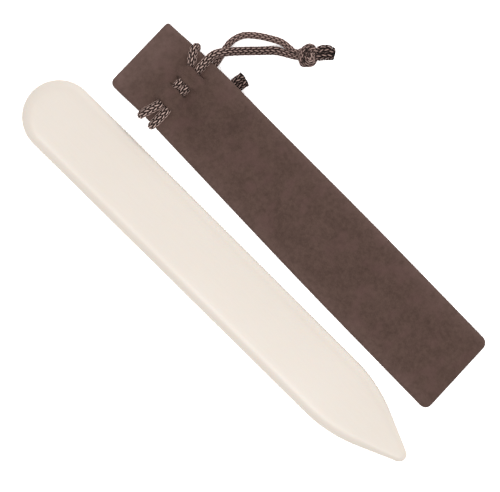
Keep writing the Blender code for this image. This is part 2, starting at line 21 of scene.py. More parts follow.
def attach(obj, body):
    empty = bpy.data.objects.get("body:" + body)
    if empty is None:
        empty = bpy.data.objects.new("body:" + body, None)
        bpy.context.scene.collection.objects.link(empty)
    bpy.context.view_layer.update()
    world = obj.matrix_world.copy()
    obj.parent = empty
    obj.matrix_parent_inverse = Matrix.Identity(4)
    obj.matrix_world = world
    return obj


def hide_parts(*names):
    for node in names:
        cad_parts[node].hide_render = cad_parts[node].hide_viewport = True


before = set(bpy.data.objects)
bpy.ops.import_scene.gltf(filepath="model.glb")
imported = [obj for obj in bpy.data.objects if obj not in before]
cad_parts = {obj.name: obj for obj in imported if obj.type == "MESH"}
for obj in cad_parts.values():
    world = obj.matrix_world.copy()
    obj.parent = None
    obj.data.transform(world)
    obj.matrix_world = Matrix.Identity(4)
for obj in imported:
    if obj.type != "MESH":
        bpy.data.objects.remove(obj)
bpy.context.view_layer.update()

LOG = logging.getLogger("bone_folder")
MM = 0.001
TINY = 1e-18
Colour = tuple[float, float, float]
Place = tuple[float, float]
Range = tuple[float, float]
Weights = tuple[float, ...]
Settings = Optional[dict[str, Any]]
Inputs = Optional[dict[Union[str, int], Any]]
Number = Union[float, "Value"]


# Node trees


class Value:
    """A node's output, for use in Python expressions that add Math nodes."""

    def __init__(self, nodes: "Nodes", socket: bpy.types.NodeSocket) -> None:
        """Wraps a socket of a node tree."""
        self.nodes = nodes
        self.socket = socket

    def other(self, name: str) -> "Value":
        """Another output of the same node."""
        return Value(self.nodes, self.socket.node.outputs[name])

    def math(self, operation: str, *others: Number) -> "Value":
        """A Math node with this value first."""
        return self.nodes.math(operation, self, *others)

    def __add__(self, other: Number) -> "Value":
        """Sum."""
        return self.math("ADD", other)

    def __radd__(self, other: Number) -> "Value":
        """Sum, with the number first."""
        return self.math("ADD", other)

    def __sub__(self, other: Number) -> "Value":
        """Difference."""
        return self.math("SUBTRACT", other)

    def __rsub__(self, other: Number) -> "Value":
        """Difference, with the number first."""
        return self.nodes.math("SUBTRACT", other, self)

    def __mul__(self, other: Number) -> "Value":
        """Product."""
        return self.math("MULTIPLY", other)

    def __rmul__(self, other: Number) -> "Value":
        """Product, with the number first."""
        return self.math("MULTIPLY", other)

    def __truediv__(self, other: Number) -> "Value":
        """Quotient."""
        return self.math("DIVIDE", other)

    def __rtruediv__(self, other: Number) -> "Value":
        """Quotient, with the number first."""
        return self.nodes.math("DIVIDE", other, self)


class Nodes:
    """A node tree and the one way in which nodes are added to it."""

    def __init__(self, tree: bpy.types.NodeTree) -> None:
        """Starts on a tree."""
        self.tree = tree

    def make(self, kind: str, settings: Settings = None, inputs: Inputs = None) -> bpy.types.Node:
        """Makes a node.

        Args:
            kind: the node's type.
            settings: its properties, set first.
            inputs: values or links by socket name or number, or a list of links for one socket.

        Returns:
            The node.
        """
        node = self.tree.nodes.new(kind)
        for name, setting in (settings or {}).items():
            setattr(node, name, setting)
        for name, value in (inputs or {}).items():
            for item in value if isinstance(value, list) else [value]:
                if isinstance(item, Value):
                    self.tree.links.new(item.socket, node.inputs[name])
                else:
                    node.inputs[name].default_value = item
        return node

    def add(self, kind: str, settings: Settings = None, inputs: Inputs = None,
            output: Union[str, int] = 0) -> Value:
        """Makes a node for one of its outputs.

        Args:
            kind: the node's type.
            settings: its properties.
            inputs: values or links of its sockets.
            output: the name or number of the output.

        Returns:
            The output.
        """
        return Value(self, self.make(kind, settings, inputs).outputs[output])

    def attribute(self, name: str) -> Value:
        """A number that a piece's mesh keeps under a name, for its material."""
        return self.add("ShaderNodeAttribute", {"attribute_name": name}, None, output="Fac")

    def math(self, operation: str, *values: Number) -> Value:
        """A Math node on numbers and values."""
        return self.add("ShaderNodeMath", {"operation": operation}, dict(enumerate(values)))

    def weighed(self, weights: Weights, *values: Value) -> Value:
        """A sum of values.

        Args:
            weights: the number that the sum starts from, then the share of each value.
            values: the values.

        Returns:
            The sum.
        """
        total = values[0] * weights[1] + weights[0]
        for value, share in zip(values[1:], weights[2:]):
            total = total + value * share
        return total

    def vector(self, operation: str, *values: Any, scale: Optional[Number] = None) -> Value:
        """A Vector Math node.

        Args:
            operation: what it does.
            values: its vectors.
            scale: a number to scale by, where the operation has one.

        Returns:
            The resulting vector.
        """
        inputs: Inputs = dict(enumerate(values))
        if scale is not None:
            inputs["Scale"] = scale
        return self.add("ShaderNodeVectorMath", {"operation": operation}, inputs)

    def mix(self, factor: Number, low: Any, high: Any) -> Value:
        """A colour between two colours.

        Args:
            factor: 0 for the first colour, 1 for the second.
            low: the first colour.
            high: the second colour.

        Returns:
            The mixed colour.
        """
        ends = [(*end, 1.0) if isinstance(end, tuple) else end for end in (low, high)]
        inputs = {0: factor, 6: ends[0], 7: ends[1]}
        return self.add("ShaderNodeMix", {"data_type": "RGBA"}, inputs, output=2)

    def noise(self, place: Value, scale: float, detail: float = 2.0, roughness: float = 0.5) -> Value:
        """A soft noise from 0 to 1 about 0.5."""
        return self.add("ShaderNodeTexNoise", None, {
            "Vector": place, "Scale": scale, "Detail": detail, "Roughness": roughness})

    def spread(self, value: Number, low: float, high: float) -> Value:
        """0 below low, 1 above high and a smooth climb between."""
        return self.add("ShaderNodeMapRange", {"interpolation_type": "SMOOTHSTEP"}, {
            "Value": value, "From Min": low, "From Max": high})

    def place(self, scale: Sequence[float] = (1.0, 1.0, 1.0), turn: float = 0.0) -> Value:
        """Object coordinates in metres, scaled and turned about Z."""
        coordinates = self.add("ShaderNodeTexCoord", None, None, output="Object")
        return self.add("ShaderNodeMapping", None, {
            "Vector": coordinates, "Scale": tuple(scale), "Rotation": (0.0, 0.0, turn)})

    def bump(self, height: Value, strength: float, distance: float) -> Value:
        """A normal from a height that spans the given distance."""
        return self.add("ShaderNodeBump", None, {
            "Height": height, "Strength": strength, "Distance": distance})


class PathTree(Nodes):
    """A geometry node tree that grows something along a path."""

    def __init__(self, name: str, sizes: dict[str, float]) -> None:
        """Starts a tree.

        Args:
            name: the tree's name.
            sizes: its named inputs, which take a whole number where one is given.
        """
        super().__init__(bpy.data.node_groups.new(name, "GeometryNodeTree"))
        sockets = self.tree.interface
        sockets.new_socket("Path", in_out="INPUT", socket_type="NodeSocketGeometry")
        for size, value in sizes.items():
            kind = "NodeSocketInt" if isinstance(value, int) else "NodeSocketFloat"
            sockets.new_socket(size, in_out="INPUT", socket_type=kind)
        sockets.new_socket("Grown", in_out="OUTPUT", socket_type="NodeSocketGeometry")
        self.sizes = self.add("NodeGroupInput")
        self.line = self.add("GeometryNodeMeshToCurve", None, {"Mesh": self.sizes.other("Path")})

    def mark(self, name: str, kind: str) -> Value:
        """A named value of the geometry's points."""
        return self.add("GeometryNodeInputNamedAttribute", {"data_type": kind}, {"Name": name})

    def store(self, geometry: Value, name: str, kind: str, value: Number) -> Value:
        """Keeps a value on a geometry's points under a name."""
        return self.add("GeometryNodeStoreNamedAttribute", {"data_type": kind, "domain": "POINT"}, {
            "Geometry": geometry, "Name": name, "Value": value})

    def dressed(self, geometry: Value, material: bpy.types.Material) -> bpy.types.NodeTree:
        """Ends the tree.

        Args:
            geometry: what it has grown.
            material: the finish of that.

        Returns:
            The whole tree.
        """
        smooth = self.add("GeometryNodeSetShadeSmooth", None, {"Geometry": geometry})
        real = self.add("GeometryNodeRealizeInstances", None, {"Geometry": smooth})
        dressed = self.add("GeometryNodeSetMaterial", None, {"Geometry": real, "Material": material})
        self.make("NodeGroupOutput", None, {"Grown": dressed})
        return self.tree


class Paint:
    """A Principled material: numbers go on its sockets, values are linked to them."""

    def __init__(self, name: str, **sockets: Any) -> None:
        """Makes the material.

        Args:
            name: the material's name.
            sockets: constants, with spaces in a socket's name written as underscores.
        """
        self.material = bpy.data.materials.new(name)
        self.material.use_nodes = True
        self.nodes = Nodes(self.material.node_tree)
        self.shader = self.material.node_tree.nodes["Principled BSDF"]
        for socket, value in sockets.items():
            self.shader.inputs[socket.replace("_", " ")].default_value = value

    def link(self, socket: str, value: Value) -> None:
        """Links a varying value to a socket of the shader."""
        self.material.node_tree.links.new(value.socket, self.shader.inputs[socket])


# Finishes


@dataclass(frozen=True)
class BoneFinish:
    """Cream bone, sanded and polished, with a faint lengthwise grain and a few closed pores."""

    face: Colour = (0.848, 0.769, 0.687)
    shade: Colour = (0.833, 0.752, 0.668)
    pore: Colour = (0.66, 0.56, 0.46)
    cloud_scale: float = 28.0
    grain_scale: float = 90.0
    fine_scale: float = 420.0
    grain_stretch: float = 14.0
    pore_scale: float = 120.0
    pore_stretch: float = 7.0
    pore_edge: Range = (0.035, 0.10)
    pore_grain: Range = (0.50, 0.62)
    pore_darkness: float = 0.30
    tone: Weights = (0.0, 0.45, 0.4, 0.15)
    tone_range: Range = (0.36, 0.64)
    roughness: Weights = (0.33, -0.06, 0.12)
    coat: Weights = (0.10, 0.10)
    height: Weights = (0.0, 0.5, 0.3, -0.8)
    relief: float = 0.10
    depth: float = 0.12 * MM

    def material(self) -> bpy.types.Material:
        """Builds the finish.

        Returns:
            The material.
        """
        paint = Paint("polished_bone", Specular_IOR_Level=0.5, IOR=1.54, Subsurface_Weight=0.12,
                      Subsurface_Radius=(0.0022, 0.0014, 0.0009), Subsurface_Scale=1.0, Coat_Roughness=0.22)
        nodes = paint.nodes
        drawn_out = (1.0, self.grain_stretch, self.grain_stretch)
        clouds = nodes.noise(nodes.place(), self.cloud_scale, 3.0)
        grain = nodes.noise(nodes.place(drawn_out), self.grain_scale, 4.0, 0.6)
        fine = nodes.noise(nodes.place(drawn_out), self.fine_scale, 2.0)
        pores = nodes.add("ShaderNodeTexVoronoi", {"feature": "F1"}, {
            "Vector": nodes.place((1.0, self.pore_stretch, self.pore_stretch)),
            "Scale": self.pore_scale}, output="Distance")
        pore = (1.0 - nodes.spread(pores, *self.pore_edge)) * nodes.spread(grain, *self.pore_grain)
        tone = nodes.spread(nodes.weighed(self.tone, clouds, grain, fine), *self.tone_range)
        bone = nodes.mix(tone, self.shade, self.face)
        paint.link("Base Color", nodes.mix(pore * self.pore_darkness, bone, self.pore))
        paint.link("Roughness", nodes.weighed(self.roughness, clouds, pore))
        paint.link("Coat Weight", nodes.weighed(self.coat, clouds))
        height = nodes.weighed(self.height, grain, fine, pore)
        paint.link("Normal", nodes.bump(height, self.relief, self.depth))
        return paint.material


@dataclass(frozen=True)
class VelvetFinish:
    """Dark brown velvet with a short, slightly brushed pile, paler towards its mouth and along its sides."""

    deep: Colour = (0.076, 0.045, 0.036)
    lit: Colour = (0.127, 0.078, 0.063)
    rose: Colour = (0.130, 0.073, 0.065)
    # The paler colour towards the mouth and along the sides.
    paled: Colour = (0.170, 0.108, 0.094)
    tint: Colour = (0.62, 0.50, 0.45)
    brushed_scale: float = 110.0
    blotch_scale: float = 130.0
    tuft_scale: float = 560.0
    pile_scale: float = 2600.0
    tone: Weights = (0.0, 0.22, 0.44, 0.34)
    tone_range: Range = (0.30, 0.70)
    rose_range: Range = (0.46, 0.72)
    rose_strength: float = 0.55
    paled_blotches: Weights = (0.35, 0.9)
    paled_tufts: Weights = (0.4, 1.2)
    roughness: Weights = (0.98, -0.12)
    height: Weights = (0.0, 0.7, 0.5)
    relief: float = 0.55
    depth: float = 0.22 * MM

    def material(self) -> bpy.types.Material:
        """Builds the finish.

        Returns:
            The material.
        """
        paint = Paint("brown_velvet", Sheen_Weight=0.20, Sheen_Roughness=0.45, Sheen_Tint=(*self.tint, 1.0),
                      Specular_IOR_Level=0.15)
        nodes = paint.nodes
        along_brush = nodes.place((1.0, 1.5, 1.0), math.radians(20))
        across_brush = nodes.place((1.3, 1.0, 1.0), math.radians(-30))
        brushed = nodes.noise(along_brush, self.brushed_scale, 3.0, 0.55)
        blotches = nodes.noise(across_brush, self.blotch_scale, 2.0, 0.5)
        tufts = nodes.noise(nodes.place(), self.tuft_scale, 3.0, 0.6)
        pile = nodes.noise(nodes.place((1.0, 1.0, 0.6)), self.pile_scale, 2.0, 0.7)
        tone = nodes.spread(nodes.weighed(self.tone, brushed, tufts, pile), *self.tone_range)
        cloth = nodes.mix(tone, self.deep, self.lit)
        rosy = nodes.spread(blotches, *self.rose_range) * self.rose_strength
        cloth = nodes.mix(rosy, cloth, self.rose)
        # Paler towards the mouth and along the sides, in blotches.
        paled = nodes.attribute("paling") * nodes.weighed(self.paled_blotches, blotches)
        paled = (paled * nodes.weighed(self.paled_tufts, tufts)).math("MINIMUM", 1.0)
        paint.link("Base Color", nodes.mix(paled, cloth, self.paled))
        paint.link("Roughness", nodes.weighed(self.roughness, brushed))
        height = nodes.weighed(self.height, pile, tufts)
        paint.link("Normal", nodes.bump(height, self.relief, self.depth))
        return paint.material


@dataclass(frozen=True)
class BraidFinish:
    """Brown polyester yarn: a painted highlight where a strand lies on top, painted shade on the strands'
    sides and where they dive, and painted light that makes the cord paler the higher it lies on the pouch."""

    # Painted shade: near-black on the strands' sides, where they dive, on the core and in the creases of the
    # knot.
    deep: Colour = (0.004, 0.002, 0.0017)
    base: Colour = (0.110, 0.062, 0.054)
    # Painted highlight: the colour on the crest of a strand where it lies on top.
    top: Colour = (0.66, 0.455, 0.400)
    # Painted light: the cord is made paler the higher it lies, from the first height to the second.
    high_lit_base: Colour = (0.180, 0.108, 0.093)
    high_lit_top: Colour = (0.94, 0.69, 0.605)
    lit_from_height: float = 4.6 * MM
    lit_to_height: float = 7.4 * MM
    pressed_shade: float = 0.85
    shown_crown: Range = (-0.5, 0.5)
    shown_rise: Range = (-0.25, 0.40)
    crest_crown: Range = (0.0, 0.95)
    crest_rise: Range = (0.15, 0.95)
    crest_tone: Weights = (0.5, 0.8, 0.1)
    roughness: Weights = (0.62, 0.25)
    height: Weights = (0.0, 0.6, 0.5)
    relief: float = 0.5
    filaments: float = 3.0
    fuzz_scale: float = 1500.0
    depth: float = 0.10 * MM

    def material(self) -> bpy.types.Material:
        """Builds the finish.

        Returns:
            The material.
        """
        paint = Paint("brown_braid", Sheen_Weight=0.03, Sheen_Roughness=0.4, Specular_IOR_Level=0.12)
        nodes = paint.nodes
        rise = nodes.attribute("strand_rise")
        across = nodes.attribute("strand_across")
        lines = nodes.math("SINE", across * (2 * math.pi * 2 * self.filaments)) * 0.5 + 0.5
        fuzz = nodes.noise(nodes.place(), self.fuzz_scale, 3.0, 0.6)
        crown = nodes.math("COSINE", across * (2 * math.pi))
        open_to_light = 1.0 - self.pressed_shade * nodes.attribute("cord_pressed")
        # Painted shade: the deep colour where a strand turns away from the top of the cord or dives under
        # others.
        shown = nodes.spread(crown, *self.shown_crown) * nodes.spread(rise, *self.shown_rise)
        # Painted highlight on the crest of each strand that lies on top.
        crest = nodes.spread(crown, *self.crest_crown) * nodes.spread(rise, *self.crest_rise)
        level = nodes.add("ShaderNodeSeparateXYZ", None, {"Vector": nodes.place()}, output="Z")
        # Painted light: paler colours the higher the cord lies over the table.
        height_light = nodes.spread(level, self.lit_from_height, self.lit_to_height)
        base = nodes.mix(height_light, self.base, self.high_lit_base)
        top = nodes.mix(height_light, self.top, self.high_lit_top)
        yarn = nodes.mix(crest * nodes.weighed(self.crest_tone, fuzz, lines), base, top)
        paint.link("Base Color", nodes.mix(shown * open_to_light, self.deep, yarn))
        paint.link("Roughness", nodes.weighed(self.roughness, fuzz))
        height = nodes.weighed(self.height, lines, fuzz)
        paint.link("Normal", nodes.bump(height, self.relief, self.depth))
        return paint.material


@dataclass(frozen=True)
class ThreadFinish:
    """Dark brown sewing thread."""

    deep: Colour = (0.030, 0.020, 0.016)
    lit: Colour = (0.075, 0.052, 0.043)
    twist_scale: float = 3200.0
    tone_range: Range = (0.35, 0.65)
    roughness: Weights = (0.60, 0.25)
    relief: float = 0.4
    depth: float = 0.06 * MM

    def material(self) -> bpy.types.Material:
        """Builds the finish.

        Returns:
            The material.
        """
        paint = Paint("brown_thread", Sheen_Weight=0.15, Specular_IOR_Level=0.3)
        nodes = paint.nodes
        twist = nodes.noise(nodes.place((1.0, 1.0, 3.0), math.radians(35)), self.twist_scale, 2.0)
        tone = nodes.spread(twist, *self.tone_range)
        paint.link("Base Color", nodes.mix(tone, self.deep, self.lit))
        paint.link("Roughness", nodes.weighed(self.roughness, twist))
        paint.link("Normal", nodes.bump(twist, self.relief, self.depth))
        return paint.material


# Curves and meshes


def smooth_step(value: Any) -> np.ndarray:
    """0 up to 0, 1 from 1, and a smooth climb between."""
    held = np.clip(value, 0.0, 1.0)
    return held * held * (3 - 2 * held)


def smooth_curve(rows: np.ndarray, per_span: int = 16) -> tuple[np.ndarray, np.ndarray, np.ndarray]:
    """A dense centripetal curve through given rows.

    Args:
        rows: rows that start with (x, y, z).
        per_span: points between two rows.

    Returns:
        The dense rows, the length gone at each of them, and the length gone at each given row.
    """
    rows = np.vstack((2 * rows[0] - rows[1], rows, 2 * rows[-1] - rows[-2]))
    steps = np.sqrt(np.linalg.norm(np.diff(rows[:, :3], axis=0), axis=1))
    share = np.linspace(0, 1, per_span, endpoint=False)[:, None]
    square, cube = share**2, share**3
    spans = []
    for i in range(1, len(rows) - 2):
        before, here, after = steps[i - 1], steps[i], steps[i + 1]
        start, end = rows[i], rows[i + 1]
        chord = (end - start) / here
        leave = here * ((start - rows[i - 1]) / before - (end - rows[i - 1]) / (before + here) + chord)
        arrive = here * (chord - (rows[i + 2] - start) / (here + after) + (rows[i + 2] - end) / after)
        spans.append((2 * cube - 3 * square + 1) * start + (cube - 2 * square + share) * leave
                     + (3 * square - 2 * cube) * end + (cube - square) * arrive)
    dense = np.vstack(spans + [rows[-2:-1]])
    gone = lengths_along(dense[:, :3])
    return dense, gone, gone[::per_span]


def lengths_along(points: np.ndarray) -> np.ndarray:
    """The length gone at each point of a line."""
    return np.concatenate(([0.0], np.cumsum(np.linalg.norm(np.diff(points, axis=0), axis=1))))


def rows_at(rows: np.ndarray, gone: np.ndarray, places: np.ndarray) -> np.ndarray:
    """Rows of a line at given lengths along it."""
    return np.stack([np.interp(places, gone, column) for column in rows.T], axis=1)


def linked_object(name: str, mesh: bpy.types.Mesh,
                  material: Optional[bpy.types.Material] = None) -> bpy.types.Object:
    """Puts a new object in the scene, at the origin.

    Args:
        name: the object's name.
        mesh: its mesh.
        material: its finish, where the mesh has none yet.

    Returns:
        The object.
    """
    if material is not None:
        mesh.materials.clear()
        mesh.materials.append(material)
    made = bpy.data.objects.new(name, mesh)
    bpy.context.scene.collection.objects.link(made)
    return made


def mesh_from(built: bmesh.types.BMesh, name: str) -> bpy.types.Mesh:
    """Makes a smooth-shaded mesh.

    Args:
        built: the shape, which is freed.
        name: the mesh's name.

    Returns:
        The mesh.
    """
    mesh = bpy.data.meshes.new(name)
    built.to_mesh(mesh)
    built.free()
    mesh.shade_smooth()
    return mesh


def untwisted(points: np.ndarray) -> tuple[np.ndarray, np.ndarray]:
    """Directions square to a line that follow it without a twist.

    Args:
        points: the line's points; at the first one, the directions are over the line and beside it.

    Returns:
        The two directions at each point.
    """
    tangent = np.gradient(points, axis=0)
    tangent /= np.linalg.norm(tangent, axis=1)[:, None]
    over = np.zeros_like(points)
    over[0] = np.array((0.0, 0.0, 1.0)) - tangent[0, 2] * tangent[0]
    for i, step in enumerate(np.diff(points, axis=0)):
        mirrored = over[i] - 2 * (step @ over[i]) / (step @ step) * step
        ahead = tangent[i] - 2 * (step @ tangent[i]) / (step @ step) * step
        bend = tangent[i + 1] - ahead
        over[i + 1] = mirrored - 2 * (bend @ mirrored) / max(bend @ bend, TINY) * bend
    over /= np.linalg.norm(over, axis=1)[:, None]
    return over, np.cross(tangent, over)


def path_mesh(name: str, points: np.ndarray, marks: dict[str, np.ndarray]) -> bpy.types.Mesh:
    """Makes a line for a node tree to follow.

    Args:
        name: the line's name.
        points: its points.
        marks: numbers or vectors to keep on the points, by name.

    Returns:
        The line as a mesh of edges.
    """
    mesh = bpy.data.meshes.new(name)
    edges = [(i, i + 1) for i in range(len(points) - 1)]
    mesh.from_pydata([tuple(point) for point in points], edges, [])
    for mark, values in marks.items():
        kind, field = ("FLOAT", "value") if values.ndim == 1 else ("FLOAT_VECTOR", "vector")
        attribute = mesh.attributes.new(mark, kind, "POINT")
        attribute.data.foreach_set(field, values.astype(np.float32).ravel())
    return mesh


def grown_on_path(name: str, path: bpy.types.Mesh, tree: bpy.types.NodeTree,
                  sizes: dict[str, float]) -> bpy.types.Object:
    """Runs a geometry node tree on a path and keeps the result as a plain mesh.

    Args:
        name: the finished piece's name.
        path: the path.
        tree: the node tree.
        sizes: values of the tree's named inputs.

    Returns:
        The finished piece.
    """
    guide = linked_object(name + "_path", path)
    modifier = guide.modifiers.new("grown", "NODES")
    modifier.node_group = tree
    for item in tree.interface.items_tree:
        if item.item_type == "SOCKET" and item.in_out == "INPUT" and item.name in sizes:
            modifier[item.identifier] = sizes[item.name]
    graph = bpy.context.evaluated_depsgraph_get()
    mesh = bpy.data.meshes.new_from_object(guide.evaluated_get(graph), depsgraph=graph)
    mesh.name = name
    bpy.data.objects.remove(guide)
    return linked_object(name, mesh)


def stand_in(piece: bpy.types.Object, body: str, slot: str, *nodes: str) -> None:
    """Lets a piece take the place of solids of the model.

    Args:
        piece: the piece.
        body: the body that it rides on.
        slot: the material slot that its finish is for; not used.
        nodes: the names of the solids.
    """
    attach(piece, body)
    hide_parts(*nodes)


# The bone folder


@dataclass
class BoneFolder:
    """A flat slip of bone with a round end and a tapered point."""

    length: float = 200 * MM
    width: float = 28 * MM
    thickness: float = 4 * MM
    round_end_radius: float = 14.3 * MM
    shoulder_radius: float = 58 * MM
    point_radius: float = 3 * MM
    point_half_angle: float = math.radians(23.3)
    point_thickness: float = 2.6 * MM
    edge_round: float = 4.5 * MM
    point_edge_round: float = 2.2 * MM
    crown: float = 0.12 * MM
    tip_points: int = 22
    taper_points: int = 14
    shoulder_points: int = 24
    side_points: int = 60
    round_points: int = 48
    edge_steps: int = 14
    face_steps: int = 6

    def half_outline(self) -> tuple[np.ndarray, float]:
        """The outline on +Y, from the point to the round end.

        Returns:
            Rows of (x, y, angle of the normal), and where the shoulder starts.
        """
        half = self.width / 2
        taper_angle = math.pi / 2 - self.point_half_angle
        sine = math.sin(taper_angle)
        tip_x = self.length / 2 - self.point_radius
        fall = half + (sine - 1) * self.shoulder_radius - self.point_radius * sine
        run = fall / math.tan(self.point_half_angle)
        shoulder_x = tip_x + (self.point_radius - self.shoulder_radius) * math.cos(taper_angle) - run
        round_x = self.round_end_radius - self.length / 2

        def arc(centre: Place, radius: float, first: float, last: float, count: int) -> np.ndarray:
            """An arc of the outline.

            Args:
                centre: the point that it goes round.
                radius: its radius.
                first: the angle of its first point.
                last: the angle of its last point.
                count: how many points it has.

            Returns:
                Rows of (x, y, angle).
            """
            angle = np.linspace(first, last, count)
            x = centre[0] + radius * np.cos(angle)
            y = centre[1] + radius * np.sin(angle)
            return np.stack((x, y, angle), axis=1)

        quarter = math.pi / 2
        shoulder_centre = (shoulder_x, half - self.shoulder_radius)
        tip = arc((tip_x, 0.0), self.point_radius, 0.0, taper_angle, self.tip_points)
        shoulder = arc(shoulder_centre, self.shoulder_radius, taper_angle, quarter, self.shoulder_points)
        round_end = arc((round_x, 0.0), self.round_end_radius, quarter, math.pi, self.round_points)
        taper = np.linspace(tip[-1], shoulder[0], self.taper_points)[1:-1]
        side = np.linspace(shoulder[-1], round_end[0], self.side_points)[1:-1]
        return np.vstack((tip, taper, shoulder, side, round_end)), shoulder_x

    def mesh(self) -> bpy.types.Mesh:
        """Rings of the outline, drawn in round the edge and over both faces, the upper one slightly crowned.

        Returns:
            The folder's mesh.
        """
        half, shoulder_x = self.half_outline()
        lower = half[-2:0:-1] * (1, -1, -1)
        x, y, angle = np.vstack((half, lower)).T
        end = self.length / 2

        def to_point(along: np.ndarray) -> np.ndarray:
            """0 up to the shoulder, 1 at the point."""
            return smooth_step((along - shoulder_x) / (end - shoulder_x))

        def heights(along: np.ndarray) -> np.ndarray:
            """Half the thickness at places along the folder."""
            return (self.thickness + (self.point_thickness - self.thickness) * to_point(along)) / 2

        edge = self.edge_round + (self.point_edge_round - self.edge_round) * to_point(x) ** 2
        spine_x = np.clip(x, self.round_end_radius - end, end - self.point_radius)
        rings = []
        for turn in np.linspace(0.0, math.pi / 2, self.edge_steps + 1):
            inset = edge * (1 - math.cos(turn))
            ring_x, ring_y = x - inset * np.cos(angle), y - inset * np.sin(angle)
            rings.append((ring_x, ring_y, heights(ring_x) * math.sin(turn)))
        rim_x, rim_y, _ = rings[-1]
        for share in np.linspace(0.0, 1.0, self.face_steps + 1)[1:-1]:
            ring_x, ring_y = rim_x + share * (spine_x - rim_x), rim_y * (1 - share)
            rings.append((ring_x, ring_y, heights(ring_x)))

        built = bmesh.new()
        layers = []
        for way in (-1, 1):
            for ring_x, ring_y, height in rings[::-1] if way < 0 else rings[1:]:
                half_width = np.maximum(heights(ring_x) / self.thickness * self.width, MM)
                dome = self.crown * (1 - np.clip(np.abs(ring_y) / half_width, 0, 1) ** 2) * (height > 0)
                face = 0.0 if way < 0 else 1.0
                level = self.thickness / 2 + way * height + face * dome
                layers.append([built.verts.new(point) for point in zip(ring_x, ring_y, level)])
        count = len(x)
        for below, above in zip(layers, layers[1:]):
            for i in range(count):
                following = (i + 1) % count
                built.faces.new((below[i], below[following], above[following], above[i]))
        for ring in (layers[0], layers[-1]):
            for i in range(count // 2):
                corners = (ring[i], ring[i + 1], ring[(count - i - 1) % count], ring[(count - i) % count])
                built.faces.new(dict.fromkeys(corners))
        bmesh.ops.recalc_face_normals(built, faces=built.faces)
        return mesh_from(built, "folder_bone")

    def build(self, finish: BoneFinish) -> bpy.types.Object:
        """Builds the folder.

        Args:
            finish: its bone.

        Returns:
            The piece, riding on its body.
        """
        piece = linked_object("folder_bone", self.mesh(), finish.material())
        stand_in(piece, "folder", "bone", "bone_folder")
        return piece


# The pouch


